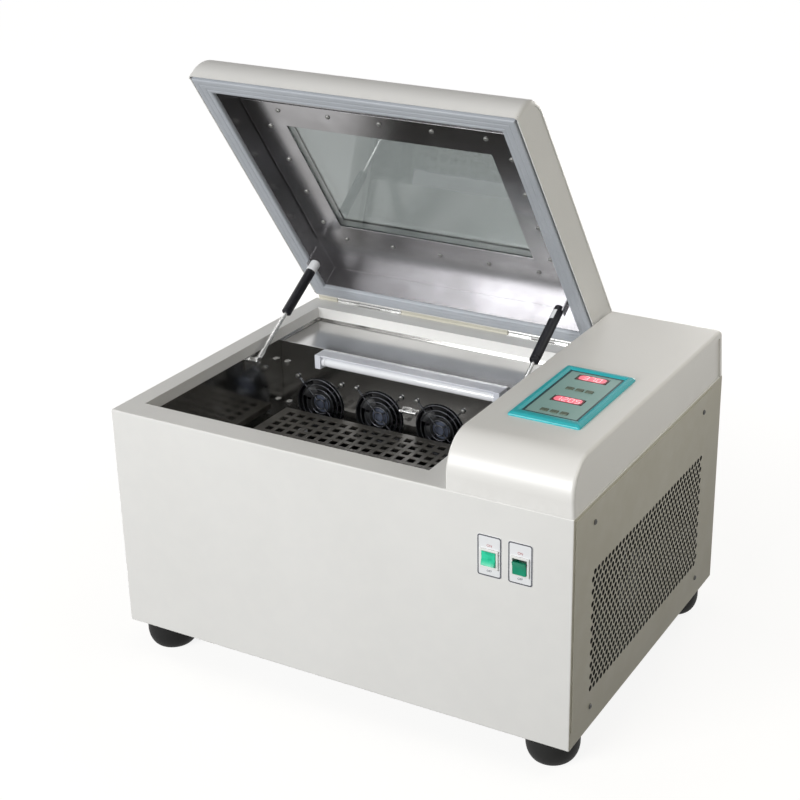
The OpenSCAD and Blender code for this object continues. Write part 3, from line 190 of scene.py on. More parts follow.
print("floor side:", FLOOR_SIDE)

# %% [markdown]
# The front is the brightest side, the top is a little darker and warmer, and the right side lies in shade, so
# the main lamp stands in front, left of the machine. A wide, weak and warm lamp hangs above the chamber. A weak
# long one stands high at the right: it lights the upper edge of the side more than the lower one. Two low lamps
# behind and at the left keep the sides that the main view doesn't show from going black.

# %% Lamps
def lamp(name, place, target, size, power, colour):
    data = bpy.data.lights.new(name, "AREA")
    data.shape, data.size, data.size_y, data.energy, data.color = "RECTANGLE", *size, power, colour
    body = to_object(name, data)
    aim = (Vector(target) - Vector(place)).to_track_quat("-Z", "Y")
    body.matrix_world = Matrix.Translation(place) @ aim.to_matrix().to_4x4()
    body.visible_camera = False


lamp("key_lamp", (-0.8, -3.4, 1.6), (0, 0, 0.35), (2.2, 1.6), 123, (0.985, 0.995, 1.0))
lamp("top_lamp", (0.1, -0.3, 3.2), (0, 0, 0.4), (2.0, 2.0), 3, (1.0, 0.92, 0.84))
lamp("rear_lamp", (0.1, 3.0, 0.7), (0, 0.2, 0.35), (1.4, 1.0), 36, (1.0, 0.98, 0.95))
lamp("left_lamp", (-2.9, 0.7, 0.7), (-0.3, 0, 0.3), (1.0, 1.0), 22, (1.0, 0.98, 0.95))
lamp("side_lamp", (0.92, 0.0, 0.92), (0.36, 0, 0.46), (1.3, 0.3), 3.2, (1.0, 0.98, 0.90))

# %% [markdown]
# ## Effects shared by the finishes
# Real paint, plastic and steel are never one flat value. The same few effects return in every finish, so
# each is a node group with named sockets: a slow change of tone, rubbed edges, a fine grain for the bump, and
# the long lines of brushed steel. The groups give out only colours and values.

# %% Node groups
def new_group(name, inputs, outputs):
    """A node group with inputs of (name, kind, value) and outputs of (name, kind)."""
    group = bpy.data.node_groups.new(name, "ShaderNodeTree")
    for label, kind, value in inputs:
        group.interface.new_socket(label, in_out="INPUT", socket_type="NodeSocket" + kind).default_value = value
    for label, kind in outputs:
        group.interface.new_socket(label, in_out="OUTPUT", socket_type="NodeSocket" + kind)
    return group, group.nodes.new("NodeGroupInput").outputs, group.nodes.new("NodeGroupOutput").inputs


tone_group, source, sink = new_group(
    "Slow tone", [("Colour", "Color", (0.8, 0.8, 0.8, 1)), ("Second", "Color", (0.7, 0.7, 0.7, 1)),
                  ("Amount", "Float", 0.5), ("Scale", "Float", 5.0)], [("Colour", "Color")])
share = times(tone_group, stepped(tone_group, noise(tone_group, source["Scale"], 3), 0.3, 0.7), source["Amount"])
tone_group.links.new(blended(tone_group, share, source["Colour"], source["Second"]), sink["Colour"])

edge_group, source, sink = new_group("Rubbed edges", [("Amount", "Float", 0.5)], [("Mask", "Float")])
pointed = stepped(edge_group, add(edge_group, "NewGeometry").outputs["Pointiness"], 0.51, 0.58)
rubbed = times(edge_group, pointed, stepped(edge_group, noise(edge_group, 35, 3), 0.35, 0.7))
edge_group.links.new(times(edge_group, rubbed, source["Amount"]), sink["Mask"])

HEIGHT_AND_MASK = [("Height", "Float"), ("Mask", "Float")]
grain_group, source, sink = new_group("Fine grain", [("Scale", "Float", 600.0)], HEIGHT_AND_MASK)
grain_group.links.new(noise(grain_group, source["Scale"], 2), sink["Height"])
grain_group.links.new(noise(grain_group, 14, 4), sink["Mask"])

brush_group, source, sink = new_group("Brushed lines", [("Stretch", "Vector", (8.0, 900.0, 900.0))], HEIGHT_AND_MASK)
place = add(brush_group, "TexCoord").outputs["Object"]
scaled = add(brush_group, "VectorMath", place, source["Stretch"], operation="MULTIPLY").outputs[0]
brush_group.links.new(noise(brush_group, 1.0, 3, scaled, 0.7), sink["Height"])
brush_group.links.new(noise(brush_group, 9, 4), sink["Mask"])
print("node groups:", [g.name for g in bpy.data.node_groups])

# %% [markdown]
# One function mixes these effects into a finish. Whatever is the same all over the surface is written on
# the shader's own socket. Only colour, roughness and height are linked, since they change from place to place.

# %% A maker of finishes
BUMP_DEPTH = 0.0004
finishes = {}


def use_group(tree, group, **values):
    node = add(tree, "Group", node_tree=group)
    for label, value in values.items():
        node.inputs[label].default_value = value
    return node.outputs


def finish(name, colour, second=None, rough=0.4, rough_span=0.08, metallic=0.0, tone=0.6, tone_scale=5.0,
           grain=0.0, grain_scale=700.0, brushed=None, edge=None, edge_amount=0.5, **sockets):
    """A Principled material: colour drifts towards second, edges towards edge, and roughness varies by rough_span."""
    finishes[name] = material = bpy.data.materials.new(name)
    material.use_nodes = True
    tree = material.node_tree
    shader = tree.nodes["Principled BSDF"]
    shader.inputs["Metallic"].default_value = metallic
    for label, value in sockets.items():
        shader.inputs[label.replace("_", " ")].default_value = value
    second = second or tuple(c * 0.9 for c in colour)
    tones = {"Colour": (*colour, 1), "Second": (*second, 1), "Amount": tone, "Scale": tone_scale}
    tint = use_group(tree, tone_group, **tones)["Colour"]
    if edge:
        tint = blended(tree, use_group(tree, edge_group, Amount=edge_amount)["Mask"], tint, (*edge, 1))
    tree.links.new(tint, shader.inputs["Base Color"])
    fine = use_group(tree, brush_group, Stretch=brushed) if brushed else use_group(tree, grain_group, Scale=grain_scale)
    tree.links.new(ranged(tree, fine["Mask"], rough - rough_span, rough + rough_span), shader.inputs["Roughness"])
    if grain:
        bump = add(tree, "Bump")
        bump.inputs["Strength"].default_value, bump.inputs["Distance"].default_value = grain, BUMP_DEPTH
        tree.links.new(fine["Height"], bump.inputs["Height"])
        tree.links.new(bump.outputs["Normal"], shader.inputs["Normal"])


print("maker ready")

# %% [markdown]
# The cabinet is powder coated: a warm off-white with a faint orange-peel grain. A darker copy of this paint
# is painted shade: the side panel and the other shaded faces take it. The moulded head is smoother and glossier.

# %% Paints
finish("cream_paint", (0.765, 0.76, 0.745), (0.73, 0.725, 0.71), rough=0.40, grain=0.10, grain_scale=520,
       edge=(0.84, 0.83, 0.80), edge_amount=0.35, Specular_IOR_Level=0.3)
# A darker copy of the cream paint: painted shade for faces turned away from the lamps.
finish("side_paint", (0.55, 0.53, 0.45), (0.51, 0.49, 0.41), rough=0.46, grain=0.12, grain_scale=520,
       edge=(0.60, 0.585, 0.53), edge_amount=0.3, Specular_IOR_Level=0.25)
finish("head_paint", (0.77, 0.76, 0.74), (0.74, 0.73, 0.71), rough=0.36, rough_span=0.05, grain=0.03, grain_scale=300,
       edge=(0.88, 0.875, 0.86), edge_amount=0.3, Coat_Weight=0.2, Coat_Roughness=0.25)
finish("cream_plastic", (0.80, 0.80, 0.785), rough=0.38, grain=0.05)
finish("white_plate", (0.80, 0.81, 0.83), (0.77, 0.78, 0.80), rough=0.3, rough_span=0.04)
finish("black_paint", (0.018, 0.018, 0.020), (0.030, 0.030, 0.033), rough=0.34, rough_span=0.1, grain=0.06,
       edge=(0.10, 0.10, 0.10), edge_amount=0.4)

# %% [markdown]
# The chamber and the lid pan are stainless steel with long fine lines from rolling. The lines run along X in
# the chamber, so the walls mirror the tray softly, as the photograph shows.

# %% Metals
finish("liner_steel", (0.62, 0.615, 0.60), (0.50, 0.495, 0.48), rough=0.11, rough_span=0.04, metallic=1.0, tone=0.9,
       tone_scale=7, grain=0.10, brushed=(6.0, 700.0, 700.0))
finish("dull_steel", (0.66, 0.655, 0.65), (0.55, 0.545, 0.54), rough=0.18, rough_span=0.05, metallic=1.0, tone=0.9,
       tone_scale=9, grain=0.02, brushed=(6.0, 500.0, 500.0))
finish("pan_steel", (0.40, 0.395, 0.405), (0.30, 0.295, 0.30), rough=0.23, rough_span=0.06, metallic=1.0, tone=0.9,
       tone_scale=9, grain=0.05, brushed=(6.0, 500.0, 500.0))
finish("plated_steel", (0.66, 0.66, 0.65), (0.55, 0.55, 0.54), rough=0.24, rough_span=0.08, metallic=1.0,
       tone_scale=40, edge=(0.8, 0.8, 0.8), edge_amount=0.5)
finish("cast_aluminium", (0.42, 0.42, 0.43), (0.34, 0.34, 0.35), rough=0.46, metallic=1.0, grain=0.4, grain_scale=260)
finish("cast_iron", (0.085, 0.085, 0.09), (0.06, 0.06, 0.065), rough=0.6, metallic=0.6, grain=0.6, grain_scale=200)
finish("lamp_metal", (0.80, 0.82, 0.88), (0.66, 0.68, 0.75), rough=0.3, metallic=0.1, tone=0.9, tone_scale=20)
finish("dull_zinc", (0.30, 0.30, 0.29), (0.20, 0.20, 0.19), rough=0.42, metallic=0.9, tone_scale=300)
finish("dark_screw", (0.10, 0.10, 0.095), (0.06, 0.06, 0.055), rough=0.5, metallic=0.5, tone_scale=300)
finish("dark_fins", (0.05, 0.05, 0.05), (0.03, 0.03, 0.03), rough=0.55, metallic=0.4)
finish("strut_black", (0.006, 0.006, 0.009), (0.012, 0.012, 0.016), rough=0.42, tone_scale=60, Specular_IOR_Level=0.3)
finish("guard_wire", (0.14, 0.145, 0.16), (0.09, 0.095, 0.105), rough=0.24, metallic=0.9, tone_scale=60)
finish("spacer_metal", (0.72, 0.72, 0.71), rough=0.38, metallic=0.4, tone_scale=60)
finish("platform_paint", (0.125, 0.118, 0.105), (0.09, 0.085, 0.077), rough=0.42, metallic=0.35, grain=0.2,
       grain_scale=400, edge=(0.34, 0.33, 0.31), edge_amount=0.7)

# %% [markdown]
# Rubber, foam and plastics: matt and slightly uneven, with a dusting of lighter tone. The gasket is a cool
# grey vinyl. The two rockers are clear green, and the left one has its small lamp lit.

# %% Plastics and rubber
finish("foot_rubber", (0.010, 0.010, 0.010), (0.018, 0.018, 0.017), rough=0.62, grain=0.3, grain_scale=350,
       Specular_IOR_Level=0.2)
finish("belt_rubber", (0.02, 0.02, 0.02), rough=0.7, grain=0.3)
finish("gasket_foam", (0.45, 0.475, 0.515), (0.39, 0.415, 0.455), rough=0.5, grain=0.12, grain_scale=600,
       tone_scale=12)
finish("foam", (0.70, 0.64, 0.36), (0.62, 0.56, 0.30), rough=0.85, grain=0.8, grain_scale=240)
finish("black_plastic", (0.016, 0.016, 0.018), (0.026, 0.027, 0.030), rough=0.4, rough_span=0.1, grain=0.15,
       grain_scale=500)
finish("teal_plastic", (0.012, 0.40, 0.45), (0.02, 0.47, 0.51), rough=0.33, grain=0.04, tone_scale=25)
finish("membrane", (0.27, 0.44, 0.41), (0.24, 0.41, 0.385), rough=0.36, rough_span=0.05, grain=0.05, grain_scale=900,
       tone_scale=16)
finish("key_plastic", (0.085, 0.115, 0.075), (0.06, 0.085, 0.055), rough=0.42, tone_scale=60)
finish("green_plastic", (0.0, 0.24, 0.13), (0.0, 0.30, 0.17), rough=0.26, rough_span=0.05, tone_scale=60,
       Specular_IOR_Level=0.3)
finish("green_lit", (0.0, 0.34, 0.19), (0.03, 0.55, 0.33), rough=0.26, rough_span=0.05, tone=1.0, tone_scale=90,
       Specular_IOR_Level=0.3, Emission_Color=(0.02, 0.75, 0.38, 1), Emission_Strength=0.14)
finish("board", (0.02, 0.09, 0.045), (0.03, 0.12, 0.06), rough=0.45, tone_scale=60)
finish("display", (0.17, 0.035, 0.04), (0.13, 0.03, 0.035), rough=0.25, rough_span=0.04, tone_scale=80)
finish("display_glow", (0.60, 0.12, 0.16), (0.50, 0.09, 0.12), rough=0.3, tone_scale=120,
       Emission_Color=(1.0, 0.20, 0.27, 1), Emission_Strength=0.6)
finish("digit_light", (0.9, 0.5, 0.53), rough=0.3, tone_scale=200, Emission_Color=(1.0, 0.55, 0.60, 1),
       Emission_Strength=0.75)
finish("border_print", (0.008, 0.035, 0.04), (0.014, 0.05, 0.055), rough=0.4, tone_scale=90)
finish("hub_label", (0.13, 0.15, 0.21), (0.08, 0.09, 0.13), rough=0.3, tone=1.0, tone_scale=80)
finish("print_red", (0.42, 0.06, 0.07), rough=0.5, tone_scale=300)
finish("print_dark", (0.06, 0.063, 0.08), (0.09, 0.093, 0.11), rough=0.5, tone_scale=200)

# %% [markdown]
# The window is grey-green tinted glass in two panes. Glass keeps a plain metallic and transmission value,
# and only its roughness changes, where hands and steam leave faint smears. The lamp tube is milk glass.

# %% Glass
finish("window_glass", (0.515, 0.54, 0.537), (0.49, 0.515, 0.512), rough=0.02, rough_span=0.015, tone_scale=3,
       Transmission_Weight=1.0, IOR=1.45)
finish("lamp_glass", (0.86, 0.87, 0.90), (0.82, 0.83, 0.86), rough=0.12, rough_span=0.03, tone_scale=30,
       Coat_Weight=0.5)
print("finishes:", len(bpy.data.materials))

# %% [markdown]
# ## Helpers for the meshes
# Each node gets the slot of its finish, and a new piece takes the slot of the node that it belongs to. The CAD
# meshes have knife-sharp edges, which no real sheet or moulding has. So a softened copy merges the triangles
# of a node into flat faces and rounds every edge a little, which makes each catch the light. The outline of
# the whole piece can be rounded more than its thin edges.

# %% Slots
SLOT_NODES = {
    # The side and rear panels take the darker cream of painted shade.
    "cream_paint": "outer_shell head_cover lid_shell", "side_paint": "rear_panel side_panel",
    "black_paint": "chassis fan_guards drive_motor compressor condenser_fan_housing strut_cylinders",
    "foot_rubber": "feet", "liner_steel": "chamber_liner", "foam": "chamber_insulation",
    "dull_steel": "duct_panel air_heater lid_liner window_frame",
    "plated_steel": "cabinet_screws temperature_probe strut_base_brackets hinge_base_leaves window_screws "
                    "hinge_lid_leaves strut_rods drive_shaft",
    "black_plastic": "fan_frames power_inlet fan_impeller_1 fan_impeller_2 fan_impeller_3",
    "lamp_metal": "lamp_housing", "lamp_glass": "lamp_tube",
    "cast_aluminium": "evaporator condenser condenser_fan motor_pulley driven_pulley tray_carrier",
    "cast_iron": "bearing_housing idler_crank_left idler_crank_right", "belt_rubber": "drive_belt",
    "board": "control_board", "display": "display_modules", "teal_plastic": "control_bezel",
    "membrane": "control_membrane", "white_plate": "switch_plates", "cream_plastic": "switch_bodies",
    "gasket_foam": "lid_gasket", "window_glass": "window_panes", "platform_paint": "platform_tray",
    "green_plastic": "power_rocker lamp_rocker",
    "key_plastic": "key_upper_1 key_upper_2 key_upper_3 key_lower_1 key_lower_2 key_lower_3"}
SLOT_OF = {node: slot_name for slot_name, names in SLOT_NODES.items() for node in names.split()}
for node, slot_name in SLOT_OF.items():
    nodes[node].data.materials.clear()
    nodes[node].data.materials.append(finishes[slot_name])
print("slots:", len(SLOT_NODES), "nodes:", len(SLOT_OF))

# %% Pieces
def to_mesh(name, bm):
    """A new mesh of bm, with its faces turned outwards. It frees bm."""
    bmesh.ops.recalc_face_normals(bm, faces=bm.faces)
    mesh = bpy.data.meshes.new(name)
    bm.to_mesh(mesh)
    bm.free()
    return mesh


def piece(name, bm, node, looks=None, slot_name=None, stands_for=True, sharp=35, place=Matrix()):
    """Makes an object of bm that rides with node's body and, unless told otherwise, stands for the node."""
    bm.transform(place)
    mesh = to_mesh(name, bm)
    mesh.shade_smooth()
    mesh.set_sharp_from_angle(angle=math.radians(sharp))
    slot_name = slot_name or SLOT_OF[node]
    mesh.materials.append(finishes[looks or slot_name])
    obj = to_object(name, mesh)
    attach(obj, nodes[node]["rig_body"])
    if stands_for:
        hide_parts(node)
    flat = obj.modifiers.new("flat faces", "WEIGHTED_NORMAL")
    flat.mode, flat.weight, flat.keep_sharp = "FACE_AREA_WITH_ANGLE", 80, True
    print(name, len(mesh.polygons), "faces")
    return obj


def detail(*args, **settings):
    """A piece beside the one that stands for its node."""
    piece(*args, stands_for=False, **settings)


print("pieces ready")

# %% Softened copies
def span(points):
    """The lowest and the highest corner of the box round some points."""
    points = list(points)
    return tuple(Vector([pick(p[i] for p in points) for i in range(3)]) for pick in (min, max))


def welded(node):
    bm = bmesh.new()
    bm.from_mesh(nodes[node].data)
    bmesh.ops.remove_doubles(bm, verts=bm.verts, dist=0.01 * MM)
    return bm


def round_edges(bm, edges, width, segments):
    if edges and width:
        bmesh.ops.bevel(bm, geom=edges, offset=width * MM, segments=segments, profile=0.5, affect="EDGES",
                        clamp_overlap=False, offset_type="OFFSET")


def folded_edges(bm, least=30):
    return [e for e in bm.edges if len(e.link_faces) == 2 and e.calc_face_angle(0) > math.radians(least)]


def outline_edges(bm, reach=0.05 * MM):
    """The straight edges where two sides of the bounding box meet."""
    box = span(v.co for v in bm.verts)

    def sides(v):
        return {(i, s) for i in range(3) for s in (0, 1) if abs(v.co[i] - box[s][i]) < reach}
    return [e for e in folded_edges(bm) if len(sides(e.verts[0]) & sides(e.verts[1])) >= 2]


def softened(name, node, width, segments, least=30, looks=None, outline=0.0):
    """A copy of the node whose folds over least degrees are rounded, its outline by more. Widths are in mm."""
    bm = welded(node)
    bmesh.ops.dissolve_limit(bm, angle_limit=math.radians(0.5), verts=bm.verts, edges=bm.edges)
    round_edges(bm, outline_edges(bm) if outline else [], outline, 4)
    round_edges(bm, folded_edges(bm, least), width, segments)
    return piece(name, bm, node, looks)


print("softening ready")

# %% [markdown]
# Many parts of the machine are rings round a rectangle (gasket, bezel, frames) or bodies of revolution
# (feet, struts, screws). One helper sweeps a profile round two rectangles, and another turns a profile on
# a lathe. Both stand on a third that lofts rings of points. Profiles are given in millimetres.

# %% Sweeps and lathes
def arc(centre, radius, start, end, steps):
    """Points of an arc between two angles in degrees."""
    angles = (math.radians(start + (end - start) * k / steps) for k in range(steps + 1))
    return [(centre[0] + radius * math.cos(a), centre[1] + radius * math.sin(a)) for a in angles]


def skin(bm, rings, around=True, caps=False):
    """Faces from ring to ring. Around closes each ring, and caps closes the first and the last."""
    rows = [[bm.verts.new(p) for p in ring] for ring in rings]
    count = len(rows[0])
    for low, high in zip(rows, rows[1:]):
        for i in range(count if around else count - 1):
            j = (i + 1) % count
            bm.faces.new((low[i], low[j], high[j], high[i]))
    if caps:
        bm.faces.new(rows[0][::-1])
        bm.faces.new(rows[-1])


def prism(bm, outline, ends, axis=2):
    """An outline drawn across an axis, from one of two ends on it to the other."""
    skin(bm, [[(*p[:axis], end, *p[axis:]) for p in outline] for end in ends], caps=True)


def rectangle(x, y, radius, steps, height):
    points = []
    for cx, cy, start in ((x[1] - radius, y[1] - radius, 0), (x[0] + radius, y[1] - radius, 90),
                          (x[0] + radius, y[0] + radius, 180), (x[1] - radius, y[0] + radius, 270)):
        points += [(*p, height) for p in arc((cx, cy), radius, start, start + 90, steps)]
    return points


def ring_between(bm, outer, inner, profile, radii=(0.3, 0.3), steps=1):
    """Sweeps a closed profile round two rectangles: (share of the way from outer to inner, height in mm)."""
    def mix(a, b, t):
        return a + (b - a) * t
    rings = []
    for t, height in profile + profile[:1]:
        x, y = ([mix(outer[k][i], inner[k][i], t) for i in (0, 1)] for k in (0, 1))
        rings.append(rectangle(x, y, mix(*radii, t) * MM, steps, height * MM))
    start = len(bm.verts)
    skin(bm, rings)
    bm.verts.ensure_lookup_table()
    bmesh.ops.remove_doubles(bm, verts=bm.verts[start:], dist=0.001 * MM)


def lathe(bm, profile, steps=40, place=Matrix()):
    """Turns points of (radius, height) in millimetres about Z, then moves the result to place."""
    rings = []
    for radius, height in profile:
        ring = arc((0, 0), radius * MM, 0, 360, steps)[:-1] if radius else [(0, 0)]
        rings.append([bm.verts.new(place @ Vector((*p, height * MM))) for p in ring])
    for low, high in zip(rings, rings[1:]):
        for i in range(steps if len(low) + len(high) > 2 else 0):
            j = i + 1
            corners = (low[i % len(low)], low[j % len(low)], high[j % len(high)], high[i % len(high)])
            bm.faces.new(list(dict.fromkeys(corners)))


print("sweeps and lathes ready")

# %% [markdown]
# ## Control head and lid casing
# Both casings are one curved sheet: a front arc of 52 mm, a flat top, and ends that turn over a rounded
# bead before the flat side plate. A loft suits this: the side outline is repeated along X, and at the ends it
# shrinks along a quarter circle. The skin is then thickened, and the openings are cut.

# %% Casing maker
FRONT_ROUND, SHEET, HEAD_LEAN = 52 * MM, 1.5 * MM, 4 * MM
LIP = ((0, 0.8), (0.9, 1.1), (0.9, 1.6))
HEAD_LIP = ((0, 5.2), (0.3, 5.8), (0.9, 6.1), (2.2, 6.3), (2.2, 8.0))


def with_modifiers(obj):
    """A bmesh of the object as its modifiers leave it. The object is removed."""
    bpy.context.view_layer.update()
    mesh = bpy.data.meshes.new_from_object(obj.evaluated_get(bpy.context.evaluated_depsgraph_get()))
    bpy.data.objects.remove(obj)
    result = bmesh.new()
    result.from_mesh(mesh)
    bpy.data.meshes.remove(mesh)
    return result


def side_view(inset, y, z, rear_round):
    """Side view of a casing, shrunk by inset at the front, top and rear."""
    rear = max(rear_round - inset, 0.6 * MM)
    return [(y[0] + inset, z[0]), *arc((y[0] + FRONT_ROUND, z[1] - FRONT_ROUND), FRONT_ROUND - inset, 180, 90, 24),
            *arc((y[1] - inset - rear, z[1] - inset - rear), rear, 90, 0, 8), (y[1] - inset, z[0])]


def casing(low, high, ends, rear_round, lips, lean=0.0):
    """A curved casing, open below. Ends and lips are its beads and grooves left and right; the right side leans."""
    x, y, z = zip(low, high)
    rings = []
    for side, sign in ((0, 1), (1, -1)):
        bead = ends[side]
        end = [(x[side] + sign * bead * (1 - s), bead * (1 - c)) for c, s in arc((0, 0), 1, 0, 90, 7)]
        end += [(x[side] + sign * deep * MM, bead + down * MM) for deep, down in lips[side]]
        part = [[(px - side * lean * (pz - z[0]) / (z[1] - z[0]), py, pz)
                 for py, pz in side_view(inset, y, z, rear_round)] for px, inset in end]
        rings += part if side else part[::-1]
    bm = bmesh.new()
    skin(bm, rings, around=False, caps=True)
    obj = to_object("casing", to_mesh("casing", bm))
    thick = obj.modifiers.new("thick", "SOLIDIFY")
    thick.thickness, thick.offset, thick.use_even_offset = SHEET, -1, False
    return with_modifiers(obj)


# %% Boxes and openings
def box_of(node, place=Matrix()):
    return span(place @ v.co for v in nodes[node].data.vertices)


def plan(low, high):
    """A box seen from above, as the two sides ((x0, x1), (y0, y1))."""
    return tuple(zip(low, high))[:2]


def shrunk(sides, by):
    """The sides moved inwards by some millimetres."""
    return [(a + by * MM, b - by * MM) for a, b in sides]


def opening(sides, z, reach=9 * MM):
    """A block that cuts a rectangle out of a sheet at height z."""
    (x0, x1), (y0, y1) = sides
    bm = bmesh.new()
    prism(bm, [(x0, y0), (x1, y0), (x1, y1), (x0, y1)], (z - reach, z + reach))
    return bm


def carved(bm, cutter):
    """bm with a closed cutter mesh taken away, by Blender's exact boolean."""
    body, tool = (to_object("temp", to_mesh("temp", each)) for each in (bm, cutter))
    modifier = body.modifiers.new("cut", "BOOLEAN")
    modifier.object, modifier.operation, modifier.solver = tool, "DIFFERENCE", "EXACT"
    result = with_modifiers(body)
    bpy.data.objects.remove(tool)
    return result


print("lid window box:", box_of("window_panes"))

# %% Head cover
MEMBRANE_RIM = 1.8
low, high = box_of("head_cover")
membrane_hole = shrunk(plan(*box_of("control_membrane")), MEMBRANE_RIM)
head = casing(low, high, (3.5 * MM, 5 * MM), 9 * MM, ((), HEAD_LIP), HEAD_LEAN)
piece("head_casing", carved(head, opening(membrane_hole, high.z)), "head_cover", "head_paint", sharp=28)

# %% [markdown]
# The lid is made in its closed place, where its sides are square to the axes, and is then swung open about
# the hinge. The hinge's place and its angle come from the frame's own joint.

# %% Lid casing
hinge = next(j for j in frame["joints"] if j["name"] == "lid_hinge")
HINGE = Vector(hinge["pos_m"])
OPENED = (Matrix.Translation(HINGE) @ Matrix.Rotation(-math.radians(hinge["range_deg"][1]), 4, "X")
          @ Matrix.Translation(-HINGE))
CLOSED = OPENED.inverted()
PANE_OVER = 10
low, high = box_of("lid_shell", CLOSED)
pane_low, pane_high = box_of("window_panes", CLOSED)
window = shrunk(plan(pane_low, pane_high), PANE_OVER)
lid = casing(low, high, (7 * MM, 7 * MM), 5 * MM, (LIP, LIP))
piece("lid_casing", carved(lid, opening(window, high.z)), "lid_shell", sharp=28, place=OPENED)

# %% [markdown]
# The lid's gasket is an extruded vinyl profile with a flat lip, a groove and a soft inner bead, mitred at the
# corners. The glass is held by a steel frame, and a bright spacer keeps the two panes apart.

# %% Gasket
GASKET_W = 25.5
low, high = box_of("lid_gasket", CLOSED)
outer = plan(low, high)
inner = shrunk(outer, GASKET_W)
drop, top = low.z / MM, high.z / MM
profile = [(0.0, top)] + [(share, drop + rise) for share, rise in (
    (0, 1.6), (0.02, 0.7), (0.06, 0.2), (0.12, 0), (0.30, 0), (0.335, 0.15), (0.355, 0.5), (0.375, 0.5), (0.395, 0.15),
    (0.43, 0), (0.64, 0), (0.675, 0.15), (0.70, 0.7), (0.72, 0.7), (0.745, 0.3), (0.80, 0.05), (0.90, 0.1),
    (0.96, 0.8), (1, 2.2))] + [(1.0, top)]
bm = bmesh.new()
ring_between(bm, outer, inner, profile)
piece("gasket_profile", bm, "lid_gasket", place=OPENED, sharp=50)

# %% Pan, window frame and panes
softened("lid_pan", "lid_liner", 0.5, 2, 40, "pan_steel")
softened("window_clamp", "window_frame", 0.5, 2, 40, "pan_steel")
softened("window_glazing", "window_panes", 0.8, 2, 40)
base, top = pane_low.z / MM + 4.2, pane_high.z / MM - 4.2
bm = bmesh.new()
ring_between(bm, shrunk(window, -7), window,
             [(0, base), (0.9, base), (1, base + 0.6), (1, top - 0.6), (0.9, top), (0, top)])
detail("pane_spacer", bm, "window_panes", "spacer_metal", "plated_steel", place=OPENED)

# %% [markdown]
# ## Screws
# All screws on show are pan heads with a cross recess. One head is turned on the lathe and its cross is cut
# once; it is then stamped at each place, where the solids of the CAD node say. Each gets its own turn.

# %% One cross-head screw
def pan_head(radius, height, shank=0.0, shank_radius=0.0):
    """The mesh of one screw. Its sizes are in millimetres."""
    bm, cutter = bmesh.new(), bmesh.new()
    stem = [(0, -shank), (shank_radius, -shank), (shank_radius, 0)] if shank else [(0, 0)]
    dome = ((1, 0), (1, 0.30), (0.93, 0.62), (0.78, 0.84), (0.55, 0.96), (0.25, 1), (0, 1))
    lathe(bm, stem + [(r * radius, h * height) for r, h in dome], 28)
    arm, half = 0.56 * radius * MM, 0.13 * radius * MM
    cross = [(x * c - y * s, x * s + y * c) for c, s in ((1, 0), (0, 1), (-1, 0), (0, -1))
             for x, y in ((arm, half), (half, half), (half, arm))]
    skin(cutter, [[(x * s, y * s, z * height * MM) for x, y in cross] for s, z in ((0.6, 0.35), (1.05, 1.2))],
         caps=True)
    return to_mesh("pan_head", carved(bm, cutter))


HEAD_R, HEAD_T = 3.8, 2.2
screw_mesh = pan_head(HEAD_R, HEAD_T, 7, 1.9)
short_mesh = pan_head(HEAD_R, HEAD_T)
print("one screw:", len(screw_mesh.polygons), "faces")

# %% Places of the screws
def aimed(place, axis):
    return Matrix.Translation(place) @ Vector((0, 0, 1)).rotation_difference(Vector(axis)).to_matrix().to_4x4()


def stamp(bm, mesh, place):
    start = len(bm.verts)
    bm.from_mesh(mesh)
    bm.verts.ensure_lookup_table()
    bmesh.ops.transform(bm, matrix=place, verts=bm.verts[start:])


def solids_of(node, place=Matrix()):
    """The boxes of the separate solids of a node, each as its lowest and highest corner."""
    bm = welded(node)
    left, parts = set(bm.verts), []
    while left:
        group, edge = [], [left.pop()]
        while edge:
            v = edge.pop()
            group.append(v.co.copy())
            for other in (e.other_vert(v) for e in v.link_edges):
                if other in left:
                    left.remove(other)
                    edge.append(other)
        parts.append(group)
    bm.free()
    parts.sort(key=lambda points: [round(c, 4) for c in span(points)[0]])
    return [span(place @ p for p in points) for points in parts]


print("screws of the cabinet:", len(solids_of("cabinet_screws")))

# %% Screws of the cabinet and of the window
SIDE_TURN, WINDOW_TURN = 0.7, 0.9
shell_high, head_deep = box_of("outer_shell")[1], HEAD_T * MM
bm, side_set, duct_set, window_set = (bmesh.new() for _ in range(4))
for index, (a, b) in enumerate(solids_of("cabinet_screws")):
    x, y, z = (a + b) / 2
    own_turn = Matrix.Rotation(SIDE_TURN * index, 4, "Z")
    if b.x > shell_high.x + 2 * MM:
        stamp(side_set, screw_mesh, aimed((b.x - head_deep, y, z), (1, 0, 0)) @ own_turn)
    elif b.y > shell_high.y + 2 * MM:
        stamp(bm, screw_mesh, aimed((x, b.y - head_deep, z), (0, 1, 0)) @ own_turn)
    elif b.z - a.z > b.y - a.y + MM:
        base, top = a.z / MM, b.z / MM
        lathe(bm, [(0, base), (3, base), (3, top - 4), (5, top - 4), (5, top - 0.6), (4.3, top), (0, top)], 6,
              Matrix.Translation((x, y, 0)))
    else:
        stamp(duct_set, screw_mesh if b.y - a.y > 3 * MM else short_mesh,
              aimed((x, a.y + head_deep, z), (0, -1, 0)) @ own_turn)
piece("cabinet_cross_screws", bm, "cabinet_screws", sharp=40)
detail("side_cross_screws", side_set, "cabinet_screws", "dark_screw", sharp=40)
detail("duct_cross_screws", duct_set, "cabinet_screws", "dull_zinc", sharp=40)
inward = OPENED.to_3x3() @ Vector((0, 0, -1))
for index, (a, b) in enumerate(solids_of("window_screws", CLOSED)):
    base = OPENED @ Vector(((a.x + b.x) / 2, (a.y + b.y) / 2, b.z))
    stamp(window_set, short_mesh, aimed(base, inward) @ Matrix.Rotation(WINDOW_TURN * index, 4, "Z"))
piece("window_cross_screws", window_set, "window_screws", "dull_zinc", sharp=40)
